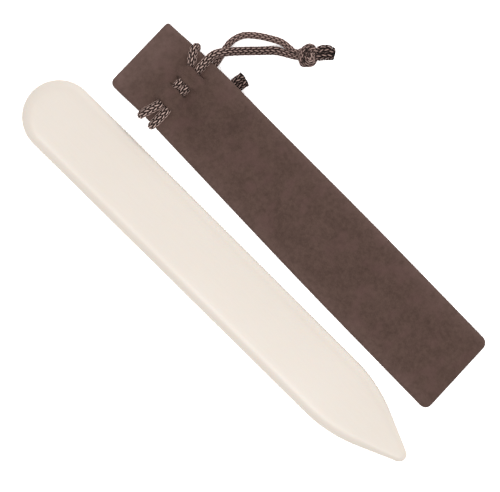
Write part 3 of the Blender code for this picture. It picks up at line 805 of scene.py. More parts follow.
@dataclass(frozen=True)
class PouchForm:
    """How the empty pouch lies over its cords, in its own frame: x from mouth to foot, y to its right."""

    length: float = 172.7 * MM
    mouth_half_width: float = 16.1 * MM
    foot_widening: float = 1.55 * MM
    mouth_lean: float = 0.9 * MM
    mouth_lean_reach: float = 22 * MM
    mouth_stretch: float = 0.5 * MM
    mouth_skew: float = 0.6 * MM
    mouth_stretch_reach: float = 14 * MM
    foot_skew: float = 0.9 * MM
    foot_stretch: float = 0.37 * MM
    belly: float = 0.22 * MM
    belly_at: float = 22 * MM
    belly_reach: float = 38 * MM
    foot_corner: float = 3 * MM
    mouth_left_corner: float = 2.4 * MM
    mouth_right_corner: float = 1.3 * MM
    cloth: float = 0.9 * MM
    half_gap: float = 0.2 * MM
    centre: tuple[float, float] = (5.3 * MM, 38.2 * MM)
    turn: float = math.radians(-1.1)
    slit_row: float = -66 * MM
    slit_half_length: float = 4.5 * MM
    front_slits: tuple[float, ...] = (-8.0 * MM, -0.4 * MM, 3.4 * MM, 9.6 * MM)
    back_slits: tuple[float, ...] = (-0.4 * MM, 3.4 * MM)
    casing_rise: float = 1.85 * MM
    rest_height: float = 1.1 * MM
    cord_lift: float = 2.7 * MM
    mouth_rise: float = 12 * MM
    cords_behind: float = -49 * MM
    cords_descent: float = 30 * MM
    crossing_lift: float = 2.6 * MM
    crossing: tuple[Place, Place] = ((-64.5 * MM, -12.5 * MM), (5 * MM, 5 * MM))
    knot_lift: float = 4.1 * MM
    knot_hill: tuple[Place, Place] = ((-51.4 * MM, 11.5 * MM), (6.5 * MM, 8.5 * MM))
    hill_slope: float = 1.3
    edge_folds: tuple[tuple[float, int], ...] = ((-68.9 * MM, -1), (-63.1 * MM, -1), (-73.0 * MM, 1))
    fold_depth: float = 1.2 * MM
    fold_half_width: float = 0.9 * MM

    def hill(self, x: np.ndarray, y: np.ndarray, centre: Place, reach: Place) -> np.ndarray:
        """1 over an ellipse round the centre, falling to 0 at about twice its reach."""
        out = np.hypot((x - centre[0]) / reach[0], (y - centre[1]) / reach[1])
        return 1 - smooth_step((out - 1) / self.hill_slope)

    def middle(self, x: np.ndarray, y: np.ndarray) -> np.ndarray:
        """Where the panels meet, as the cords under the pouch lift it.

        Args:
            x: places along the pouch.
            y: places across it.

        Returns:
            Heights over the table.
        """
        raised = smooth_step((x + self.length / 2) / self.mouth_rise)
        raised = raised * (1 - smooth_step((x - self.cords_behind) / self.cords_descent))
        crossing = self.hill(x, y, *self.crossing)
        knot = self.hill(x, y, *self.knot_hill)
        lift = raised * self.cord_lift + crossing * self.crossing_lift + knot * self.knot_lift
        return self.rest_height + lift

    def steepness(self, x: np.ndarray, y: np.ndarray) -> np.ndarray:
        """How much further apart the panels lie, measured upright, where the pouch slopes.

        Args:
            x: places along the pouch.
            y: places across it.

        Returns:
            Factors of 1 or more.
        """
        step = 0.25 * MM
        rise_x = (self.middle(x + step, y) - self.middle(x - step, y)) / (2 * step)
        rise_y = (self.middle(x, y + step) - self.middle(x, y - step)) / (2 * step)
        return np.sqrt(1 + rise_x**2 + rise_y**2)

    def half_width(self, x: np.ndarray, side: int) -> np.ndarray:
        """Distance of a side from the middle line, drawn in where a cord folds round it.

        Args:
            x: places along the pouch.
            side: 1 for the right side, -1 for the left one, 0 for a side without folds.

        Returns:
            The distances.
        """
        share = (x + self.length / 2) / self.length
        width = self.mouth_half_width + self.foot_widening * (1 - (1 - share) ** 2)
        width = width + self.belly * np.exp(-(((x - self.belly_at) / self.belly_reach) ** 2))
        for fold_x, fold_side in self.edge_folds:
            if fold_side == side:
                past = np.abs(x - fold_x) / self.fold_half_width - 1
                width = width - self.fold_depth * (1 - smooth_step(past))
        mouth_corner = self.mouth_right_corner if side > 0 else self.mouth_left_corner
        corner = np.where(x > 0, self.foot_corner, mouth_corner)
        to_end = np.clip(self.length / 2 - np.abs(x), 0.0, corner)
        return width - corner + np.sqrt(corner**2 - (corner - to_end) ** 2)

    def placed(self, x: np.ndarray, y: np.ndarray) -> tuple[np.ndarray, np.ndarray]:
        """Points of the straight pouch with the lean and skew of its mouth and its foot.

        Args:
            x: places along the straight pouch.
            y: places across it.

        Returns:
            The places along and across.
        """
        from_mouth = x + self.length / 2
        share = from_mouth / self.length
        to_right = y / self.mouth_half_width
        lean = self.mouth_lean * (1 - smooth_step(from_mouth / self.mouth_lean_reach))
        stretch = self.mouth_stretch + self.mouth_skew * to_right
        stretch = stretch * (1 - smooth_step(from_mouth / self.mouth_stretch_reach))
        at_foot = (self.foot_stretch - self.foot_skew * to_right) * share**4
        return x + at_foot - stretch, y - lean

    def to_world(self, points: np.ndarray) -> np.ndarray:
        """Turns and moves points into the frame of the model.

        Args:
            points: rows of (x, y, z, ...) in the pouch's frame.

        Returns:
            The same rows in the frame of the model.
        """
        turned = points.copy()
        cosine, sine = math.cos(self.turn), math.sin(self.turn)
        turned[:, 0] = self.centre[0] + cosine * points[:, 0] - sine * points[:, 1]
        turned[:, 1] = self.centre[1] + sine * points[:, 0] + cosine * points[:, 1]
        return turned


# How far in from a turned edge the cloth's lines lie
EDGE_LINES = np.array((0.0, 0.04, 0.15, 0.35, 0.65, 1.0, 1.4, 1.9, 2.5, 3.2, 4.2)) * MM


class Side(Enum):
    """The two panels of the pouch."""

    FRONT = 1
    BACK = -1


@dataclass
class VelvetPanel:
    """One panel: a draped cloth with turned edges and slits for the cords."""

    side: Side
    form: PouchForm
    edge_round: float = 1.0 * MM
    edge_least: float = 0.06
    edge_gap: float = 0.06 * MM
    edge_closes: float = 2 * MM
    lip_round: float = 0.35 * MM
    lip_thinning: float = 0.25
    seam_inset: float = 1.5 * MM
    seam_swell: float = 0.42 * MM
    seam_reach: float = 1.4 * MM
    seam_inner_share: float = 0.4
    arch_half_width: float = 3.0 * MM
    arch_slope: float = 1.5 * MM
    arch_spread: float = 2.4 * MM
    arch_spread_reach: float = 2.2 * MM
    flare: float = 0.22
    flare_reach: float = 1.4 * MM
    wave: float = 0.05 * MM
    waves: tuple[tuple[float, float, float], ...] = ((11 * MM, 17 * MM, 0.0), (23 * MM, -9 * MM, 1.3))
    wave_edge: float = 5 * MM
    mouth_paling_reach: float = 9 * MM
    mouth_paled: float = 0.9
    side_paling_reach: float = 4 * MM
    side_paled: float = 0.45
    row_step: float = 0.6 * MM
    fine_step: float = 0.75 * MM
    coarse_step: float = 2.2 * MM
    fine_until: float = -30 * MM
    end_margin: float = 5 * MM
    row_margin: float = 0.3 * MM
    slit_near: float = 0.12 * MM
    hair: float = 0.1 * MM
    same_place: float = 0.0001 * MM

    @property
    def slits(self) -> tuple[float, ...]:
        """Places of this panel's slits across the pouch."""
        return self.form.front_slits if self.side is Side.FRONT else self.form.back_slits

    def stations(self) -> np.ndarray:
        """Places of the cloth's cross lines, close together at its ends and over the cords.

        Returns:
            Places along the pouch.
        """
        end = self.form.length / 2
        first, last = self.form.slit_row + np.array((-1, 1)) * self.form.slit_half_length
        row = np.arange(first, last + self.hair, self.row_step)
        before = np.arange(-end + self.end_margin, first - self.row_margin, self.fine_step)
        after = np.arange(last + self.fine_step, self.fine_until, self.fine_step)
        rest = np.arange(self.fine_until, end - self.end_margin, self.coarse_step)
        return np.concatenate((-end + EDGE_LINES, before, row, after, rest, (end - EDGE_LINES)[::-1]))

    def lines(self) -> np.ndarray:
        """Places of the cloth's long lines between its turned edges, with one on each slit.

        Returns:
            Places across the pouch, as shares of the half width inside the turned edges.
        """
        inner = float(self.form.half_width(np.array(self.form.slit_row), 0)) - EDGE_LINES[-1]
        cuts = [-inner, *self.form.front_slits, inner]
        shares = []
        for first, second in zip(cuts, cuts[1:]):
            count = max(int(round((second - first) / self.fine_step)), 2)
            shares.extend(np.linspace(first, second, count, endpoint=False) / inner)
        return np.array(shares[1:])

    def casing(self, x: np.ndarray, y: np.ndarray, lip: np.ndarray) -> np.ndarray:
        """How far the cloth is lifted by the cords inside it: 1 in full.

        Args:
            x: places along the pouch.
            y: places across it.
            lip: for a point on a slit, the side of the slit that it belongs to, or 0.

        Returns:
            The lift of each point.
        """
        off_row = np.abs(x - self.form.slit_row)
        nudged = y + 0.1 * lip * self.hair
        lifted = np.zeros_like(x)
        for first, second in zip(self.slits[::2], self.slits[1::2]):
            from_slit = np.minimum(nudged - first, second - nudged)
            slope = self.arch_slope + self.arch_spread * smooth_step(from_slit / self.arch_spread_reach)
            arch = 1 - smooth_step((off_row - self.arch_half_width) / slope)
            flare = 1 + self.flare * (1 - smooth_step(from_slit / self.flare_reach))
            lifted = np.maximum(lifted, np.where(from_slit > 0, arch * flare, 0.0))
        return lifted

    def mesh(self, name: str) -> bpy.types.Mesh:
        """The cloth: its inner face as a grid cut open at the slits, and its outer face raised from it.

        Args:
            name: the mesh's name.

        Returns:
            The panel's mesh.
        """
        form = self.form
        stations = self.stations()
        shares = self.lines()
        at_edge = len(EDGE_LINES)
        deepest = EDGE_LINES[-1]
        columns = 2 * at_edge + len(shares)
        built = bmesh.new()
        bmesh.ops.create_grid(built, x_segments=len(stations) - 1, y_segments=columns - 1, size=1.0)
        flat = np.array([vert.co for vert in built.verts])
        i = np.rint((flat[:, 0] + 1) / 2 * (len(stations) - 1)).astype(int)
        j = np.rint((flat[:, 1] + 1) / 2 * (columns - 1)).astype(int)
        x = stations[i]
        left, right = -form.half_width(x, -1), form.half_width(x, 1)
        inset = np.concatenate((EDGE_LINES, np.full(len(shares), deepest), EDGE_LINES[::-1]))[j]
        share = shares[np.clip(j - at_edge, 0, len(shares) - 1)]
        inner_y = np.where(share > 0, share * (right - deepest), -share * (left + deepest))
        y = np.where(j >= columns - at_edge, right - inset, inner_y)
        y = np.where(j < at_edge, left + inset, y)
        for vert, vert_x, vert_y in zip(built.verts, x, y):
            vert.co = (vert_x, vert_y, 0.0)

        slit_edges = [edge for edge in built.edges if self.on_slit(edge)]
        bmesh.ops.split_edges(built, edges=slit_edges)
        built.verts.ensure_lookup_table()
        cut = [self.lip_side(vert) for vert in built.verts]
        places = np.array([vert.co for vert in built.verts])
        inner, outer = self.faces_heights(places[:, 0], places[:, 1], np.array(cut))
        paling = built.verts.layers.float.new("paling")
        for vert, paled in zip(built.verts, self.paling(places[:, 0], places[:, 1])):
            vert[paling] = paled
        self.raise_outer_face(built, places, inner, outer)
        return mesh_from(built, name)

    def paling(self, x: np.ndarray, y: np.ndarray) -> np.ndarray:
        """How much paler the velvet is made: most at the mouth, some along the sides.

        Args:
            x: places along the pouch.
            y: places across it.

        Returns:
            The wear of each point, from 0 to 1.
        """
        form = self.form
        to_side = np.minimum(y + form.half_width(x, -1), form.half_width(x, 1) - y)
        at_mouth = np.exp(-(((x + form.length / 2) / self.mouth_paling_reach) ** 2))
        at_sides = np.exp(-((to_side / self.side_paling_reach) ** 2))
        return np.maximum(self.mouth_paled * at_mouth, self.side_paled * at_sides)

    def on_slit(self, edge: bmesh.types.BMEdge) -> bool:
        """Whether an edge of the flat grid is part of a slit."""
        reach = self.form.slit_half_length + 0.1 * self.hair
        return any(
            all(abs(vert.co.y - slit) < self.slit_near and abs(vert.co.x - self.form.slit_row) < reach
                for vert in edge.verts)
            for slit in self.slits)

    def lip_side(self, vert: bmesh.types.BMVert) -> int:
        """The side of a slit that a point of its lips belongs to.

        Args:
            vert: a point of the flat grid, cut open at the slits.

        Returns:
            1 or -1 for the two lips, or 0 for any other point.
        """
        off_row = abs(vert.co.x - self.form.slit_row)
        if not vert.is_boundary or off_row > self.form.slit_half_length - self.hair:
            return 0
        if not any(abs(vert.co.y - slit) < self.slit_near for slit in self.slits):
            return 0
        across = sum(face.calc_center_median().y for face in vert.link_faces) / len(vert.link_faces)
        return 1 if across > vert.co.y else -1

    def faces_heights(self, x: np.ndarray, y: np.ndarray, cut: np.ndarray) -> tuple[np.ndarray, np.ndarray]:
        """Heights of the cloth's inner and outer face over the table.

        Args:
            x: places along the pouch.
            y: places across it.
            cut: the side of its slit for each point on one, or 0.

        Returns:
            The two heights of each point.
        """
        form = self.form
        to_side = np.minimum(y + form.half_width(x, -1), form.half_width(x, 1) - y)
        to_edge = np.maximum(np.minimum(to_side, form.length / 2 - np.abs(x)), 0.0)
        turned = np.sqrt(1 - (1 - np.clip(to_edge / self.edge_round, 0, 1)) ** 2)
        seam = np.minimum(to_side, form.length / 2 - x)
        swell = self.seam_swell * np.exp(-(((seam - self.seam_inset) / self.seam_reach) ** 2))
        apart = self.edge_gap + (form.half_gap - self.edge_gap) * smooth_step(to_edge / self.edge_closes)
        apart = apart + form.casing_rise * self.casing(x, y, cut)
        thickness = form.cloth * np.maximum(turned, self.edge_least)
        past_slit = np.maximum(np.abs(x - form.slit_row) - form.slit_half_length, 0)
        lip = np.min([np.hypot(past_slit, y - slit) for slit in self.slits], axis=0)
        thickness = thickness - self.lip_thinning * form.cloth * (1 - smooth_step(lip / self.lip_round))
        steep = form.steepness(x, y)
        middle = form.middle(x, y)
        if self.side is Side.FRONT:
            waves = sum(np.sin(x / along + y / across + start) for along, across, start in self.waves)
            bulge = swell + self.wave * waves * smooth_step(to_edge / self.wave_edge)
            inside = middle + (apart + self.seam_inner_share * swell) * steep
            return inside, middle + (apart + bulge + thickness) * steep
        return middle - apart * steep, middle - (apart + thickness) * steep

    def raise_outer_face(self, built: bmesh.types.BMesh, places: np.ndarray, inner: np.ndarray,
                         outer: np.ndarray) -> None:
        """Moves the flat cut grid to the inner face, grows the outer face from it and puts both in order.

        Args:
            built: the flat grid.
            places: its points.
            inner: heights of the inner face.
            outer: heights of the outer face.
        """
        x, y = self.form.placed(places[:, 0], places[:, 1])
        low = self.form.to_world(np.stack((x, y, inner), axis=1))
        high = self.form.to_world(np.stack((x, y, outer), axis=1))
        grown = bmesh.ops.extrude_face_region(built, geom=list(built.faces), use_keep_orig=True)
        fresh = [item for item in grown["geom"] if isinstance(item, bmesh.types.BMVert)]
        fresh_set = set(fresh)
        old = [vert for vert in built.verts if vert not in fresh_set]
        by_place: dict[tuple[int, int], list[int]] = {}

        def key(vert: bmesh.types.BMVert) -> tuple[int, int]:
            """A flat point's place in whole steps."""
            return round(vert.co.x / self.same_place), round(vert.co.y / self.same_place)

        for index, vert in enumerate(old):
            by_place.setdefault(key(vert), []).append(index)
        for vert in fresh:
            matches = by_place[key(vert)]
            index = matches[0]
            if len(matches) > 1:
                joined = {other for edge in vert.link_edges for other in edge.verts}
                index = next(match for match in matches if old[match] in joined)
            vert.co = high[index]
        for vert, point in zip(old, low):
            vert.co = point
        bmesh.ops.recalc_face_normals(built, faces=built.faces)
        built.normal_update()
        verts = sorted(built.verts, key=lambda vert: (*vert.co, *vert.normal))
        faces = sorted(built.faces, key=lambda face: (*face.calc_center_median(), *face.normal))
        for elements, ordered in ((built.verts, verts), (built.faces, faces)):
            number = {element: position for position, element in enumerate(ordered)}
            elements.sort(key=number.get)

    def build(self, material: bpy.types.Material) -> bpy.types.Object:
        """Builds the panel.

        Args:
            material: its velvet.

        Returns:
            The piece, riding on the pouch.
        """
        word = self.side.name.lower()
        piece = linked_object(f"velvet_{word}", self.mesh(f"velvet_{word}"), material)
        stand_in(piece, "pouch", "velvet", f"pouch_{word}_panel")
        return piece


# The drawstrings

CORD_RADIUS = 1.35 * MM
CORD_RADIUS_UNDER = 1.1 * MM
CORD_RADIUS_INSIDE = 0.8 * MM
TABLE_CLEARANCE = 0.2 * MM
OUTSIDE = 1.4 * MM
INSIDE = 0.95 * MM
TALL_POWER = -0.55  # a cord pressed broader by a factor is as much lower as this power of it
ON_TABLE = TABLE_CLEARANCE + CORD_RADIUS
UNDER_POUCH = TABLE_CLEARANCE + CORD_RADIUS_UNDER


class Layer(Enum):
    """Where a cord lies in the pouch: its height over the middle of the pouch, its radius, and how many
    times broader it is pressed."""

    OVER = (OUTSIDE + 0.70 * MM, CORD_RADIUS, 1.45)
    FRONT = (INSIDE, CORD_RADIUS_INSIDE, 1.3)
    BACK = (-INSIDE, CORD_RADIUS_INSIDE, 1.3)
    UNDER = (-OUTSIDE - CORD_RADIUS_UNDER, CORD_RADIUS_UNDER, 1.2)
    EDGE = (0.0, CORD_RADIUS, 1.1)
    EDGE_TOP = (1.7 * MM, CORD_RADIUS, 1.35)
    EDGE_FOOT = (-2.0 * MM, CORD_RADIUS_UNDER, 1.2)


Route = Sequence[tuple[float, float, Union[Layer, float]]]

# Routes in millimetres in the pouch's frame, each point with its layer or its height over the table
RIGHT_FRONT_STRAND: Route = (
    (-65.9, 19.4, 5.6 * MM),
    (-63.4, 23.2, 4.7 * MM),
    (-60.2, 27.1, 2.6 * MM),
    (-55.0, 32.7, ON_TABLE),
    (-50.6, 37.2, ON_TABLE),
)
RIGHT_THREADED: Route = (
    (-66.2, 16.4, Layer.OVER),
    (-66.1, 13.6, Layer.OVER),
    (-65.9, 11.0, Layer.OVER),
    (-65.4, 8.3, Layer.FRONT),
    (-64.8, 6.5, Layer.FRONT),
    (-64.4, 4.7, Layer.FRONT),
    (-64.2, 2.3, Layer.OVER),
    (-64.2, 0.7, Layer.OVER),
    (-64.2, -1.7, Layer.FRONT),
    (-64.0, -4.2, Layer.FRONT),
    (-63.8, -6.7, Layer.FRONT),
    (-63.4, -9.0, Layer.OVER),
    (-63.2, -11.6, Layer.OVER),
    (-63.1, -14.1, Layer.OVER),
    (-63.1, -16.1, Layer.EDGE_TOP),
    (-63.1, -17.3, Layer.EDGE),
    (-63.3, -15.9, Layer.EDGE_FOOT),
    (-63.6, -13.8, Layer.UNDER),
    (-64.0, -8.4, Layer.UNDER),
    (-64.3, -2.9, Layer.UNDER),
    (-64.4, 0.7, Layer.BACK),
    (-64.4, 1.5, Layer.BACK),
    (-64.4, 2.3, Layer.BACK),
    (-64.2, 5.9, Layer.UNDER),
    (-63.7, 10.6, Layer.UNDER),
    (-63.1, 15.0, Layer.UNDER),
)
RIGHT_BACK_STRAND: Route = (
    (-63.4, 18.2, ON_TABLE),
    (-64.6, 23.0, ON_TABLE),
    (-65.2, 27.3, ON_TABLE),
    (-63.8, 32.0, ON_TABLE),
    (-60.2, 35.7, ON_TABLE),
    (-55.7, 38.8, ON_TABLE),
    (-51.4, 41.0, ON_TABLE),
)
LEFT_FRONT_STRAND: Route = (
    (-58.6, -11.2, UNDER_POUCH),
    (-55.0, -6.6, UNDER_POUCH),
    (-51.8, -1.6, UNDER_POUCH),
)
LEFT_THREADED: Route = (
    (-63.0, -13.3, UNDER_POUCH),
    (-66.6, -13.7, UNDER_POUCH),
    (-68.4, -14.6, 2.8 * MM),
    (-68.9, -15.9, Layer.EDGE_FOOT),
    (-68.9, -17.3, Layer.EDGE),
    (-68.8, -16.1, Layer.EDGE_TOP),
    (-68.2, -14.1, Layer.OVER),
    (-67.5, -11.6, Layer.OVER),
    (-66.9, -9.0, Layer.OVER),
    (-67.7, -6.7, Layer.FRONT),
    (-67.8, -4.2, Layer.FRONT),
    (-67.9, -1.7, Layer.FRONT),
    (-67.2, 0.7, Layer.OVER),
    (-67.2, 2.3, Layer.OVER),
    (-68.1, 4.7, Layer.FRONT),
    (-68.4, 6.5, Layer.FRONT),
    (-68.8, 8.3, Layer.FRONT),
    (-70.0, 11.0, Layer.OVER),
    (-71.8, 13.4, Layer.OVER),
    (-73.0, 15.5, Layer.EDGE_TOP),
    (-72.9, 16.8, Layer.EDGE),
    (-72.1, 16.0, Layer.EDGE_FOOT),
    (-70.5, 13.2, Layer.UNDER),
    (-69.0, 9.6, Layer.UNDER),
    (-68.2, 5.9, Layer.UNDER),
    (-68.0, 2.3, Layer.BACK),
    (-68.0, 1.5, Layer.BACK),
    (-68.0, 0.7, Layer.BACK),
    (-68.1, -2.9, Layer.UNDER),
)
LEFT_BACK_STRAND: Route = (
    (-67.7, -6.6, UNDER_POUCH),
    (-65.4, -9.6, UNDER_POUCH),
    (-62.2, -8.8, UNDER_POUCH),
    (-59.6, -5.6, UNDER_POUCH),
    (-56.0, -1.6, UNDER_POUCH),
)


@dataclass(frozen=True)
class OverhandKnot:
    """An overhand knot tied in two strands at once. Its own sizes are in squeezed cord diameters."""

    cord: float = 1.5 * MM
    gap: float = 0.1 * MM
    squeeze: float = 2.0
    fullest: float = 1.2 * MM
    half_length: float = 2.4
    shorten: float = 0.70
    widen: float = 0.28
    widen_reach: float = 2.2
    waist: float = 0.30
    waist_at: float = 3.3
    waist_reach: float = 0.9
    lean: float = 0.26
    entry: float = 4.4
    tail: float = 7.7
    tail_closes: float = 0.70
    tail_end: float = 2.0
    knot_breadth: float = 1.08
    tail_breadth: float = 1.85
    half_height: float = 1.3
    spread: float = 0.9
    drop: float = -0.9
    link: float = 0.4
    neighbours: int = 3
    loose_turn: float = 2.12
    loose_points: int = 3000
    loose_size: float = 1.25
    loose_breadth: float = 0.62
    loose_rise: float = 0.16
    loose_spread: float = 0.55
    straight_links: int = 8
    pulls: int = 420
    first_pulls: int = 80
    settling: int = 5
    pull: float = 0.02
    ease: float = 0.05
    push: float = 0.3
    nearest: float = 0.05
    strain: float = 0.05

    def loose(self) -> np.ndarray:
        """Two strands side by side along an open trefoil, with straight ends.

        Returns:
            The points of the two strands.
        """
        turn = np.linspace(-self.loose_turn, self.loose_turn, self.loose_points)
        line = self.loose_size * np.stack((turn**3 - 3 * turn,
                                           self.loose_breadth * (turn**4 - 4 * turn**2 + 2),
                                           self.loose_rise * (turn**5 - 10 * turn)), axis=1)
        gone = lengths_along(line)
        line = rows_at(line, gone, np.arange(0, gone[-1], self.link))
        side = np.cross(np.gradient(line, axis=0), (0, 0, 1.0))
        side *= self.loose_spread / np.linalg.norm(side, axis=1)[:, None]
        strands = np.stack((line + side, line - side))
        run = np.arange(1, self.straight_links + 1)[None, :, None] * self.link * np.array((1.0, 0, 0))
        return np.concatenate((strands[:, :1] - run[:, ::-1], strands, strands[:, -1:] + run), axis=1)

    def tight(self) -> tuple[np.ndarray, np.ndarray]:
        """The loose knot drawn tight: its ends are pulled apart while its strands, of fixed length, push
        each other a diameter away and are pressed flat.

        Returns:
            The two strands, and the radius that they leave each other at each point.
        """
        strands = self.loose()
        count = strands.shape[1]
        order = np.tile(np.arange(count), 2)
        strand = np.repeat((0, 1), count)
        apart = (strand[:, None] != strand) | (abs(order[:, None] - order) > self.neighbours)
        ends_y = np.array((-self.spread, self.spread))
        for turn in range(self.pulls):
            for end, way in ((0, -1), (-1, 1)):
                strands[:, end, 0] = strands[:, end, 0].mean() + self.pull * way
                strands[:, end, 1] += self.ease * (ends_y - strands[:, end, 1])
                strands[:, end, 2] += self.ease * (self.drop - strands[:, end, 2])
            held = strands[:, [0, -1]].copy()
            for _ in range(self.settling):
                flat = strands.reshape(-1, 3)
                distance = np.linalg.norm(flat[:, None] - flat, axis=2)
                push = self.push * (1 / np.maximum(distance, self.nearest) - 1)
                push = np.where(apart & (distance < 1), push, 0)
                flat = flat + push.sum(axis=1)[:, None] * flat - push @ flat
                flat[:, 2] = np.clip(flat[:, 2], -self.half_height, self.half_height)
                strands = flat.reshape(2, count, 3)
                for first in (0, 1):
                    links = np.arange(first, count - 1, 2)
                    along = strands[:, links + 1] - strands[:, links]
                    fix = 0.5 * (1 - self.link / np.linalg.norm(along, axis=2, keepdims=True)) * along
                    strands[:, links] += fix
                    strands[:, links + 1] -= fix
                middle = (strands[:, :-2] + strands[:, 2:]) / 2
                strands[:, 1:-1] += self.ease * (middle - strands[:, 1:-1])
                strands[:, [0, -1]] = held
            strain = np.linalg.norm(np.diff(strands, axis=1), axis=2).mean() / self.link - 1
            if turn > self.first_pulls and strain > self.strain:
                break
        flat = strands.reshape(-1, 3)
        distance = np.where(apart, np.linalg.norm(flat[:, None] - flat, axis=2), np.inf)
        room = (distance.min(axis=1) * self.cord - self.gap) / 2
        return strands, room.reshape(2, count)

    def end_rows(self, strand: np.ndarray, room: np.ndarray, x: float, y: float,
                 heading: float) -> np.ndarray:
        """One end of a drawstring through the knot.

        Args:
            strand: the strand of the tight knot.
            room: the radius that the other strands leave it.
            x: place of the knot along the pouch.
            y: place of the knot across the pouch.
            heading: the way the tails point.

        Returns:
            Rows of (x, y, z, radius, breadth) from where the strand enters to the end of its tail.
        """
        inside = np.where((strand[:, 0] > -self.entry) & (strand[:, 0] < self.tail))[0]
        part = slice(inside[0], inside[-1] + 1)
        along = strand[part, 0]
        past_knot = smooth_step(along - self.half_length)
        core = strand[part] * self.cord
        in_knot = np.clip(along, -self.half_length, self.half_length)
        core[:, 0] -= (1 - self.shorten) * in_knot * self.cord
        bulge = np.exp(-((along / self.widen_reach) ** 2))
        drawn_in = np.exp(-(((abs(along) - self.waist_at) / self.waist_reach) ** 2))
        core[:, 1] *= (1 + self.widen * bulge) * (1 - self.waist * drawn_in)
        core[:, 0] += self.lean * bulge * core[:, 1]
        at_tip = smooth_step((along - self.tail + self.tail_end) / self.tail_end)
        core[:, 1] *= 1 - self.tail_closes * at_tip
        radius = np.minimum(room[part] * self.squeeze, self.fullest)
        breadth = self.knot_breadth + (self.tail_breadth - self.knot_breadth) * past_knot
        lowest = self.half_height * self.cord + self.cord / 2 + TABLE_CLEARANCE
        height = np.maximum(core[:, 2] + lowest, radius + TABLE_CLEARANCE)
        return np.stack((x + core[:, 0] * math.cos(heading) - core[:, 1] * math.sin(heading),
                         y + core[:, 0] * math.sin(heading) + core[:, 1] * math.cos(heading),
                         height, radius, breadth), axis=1)


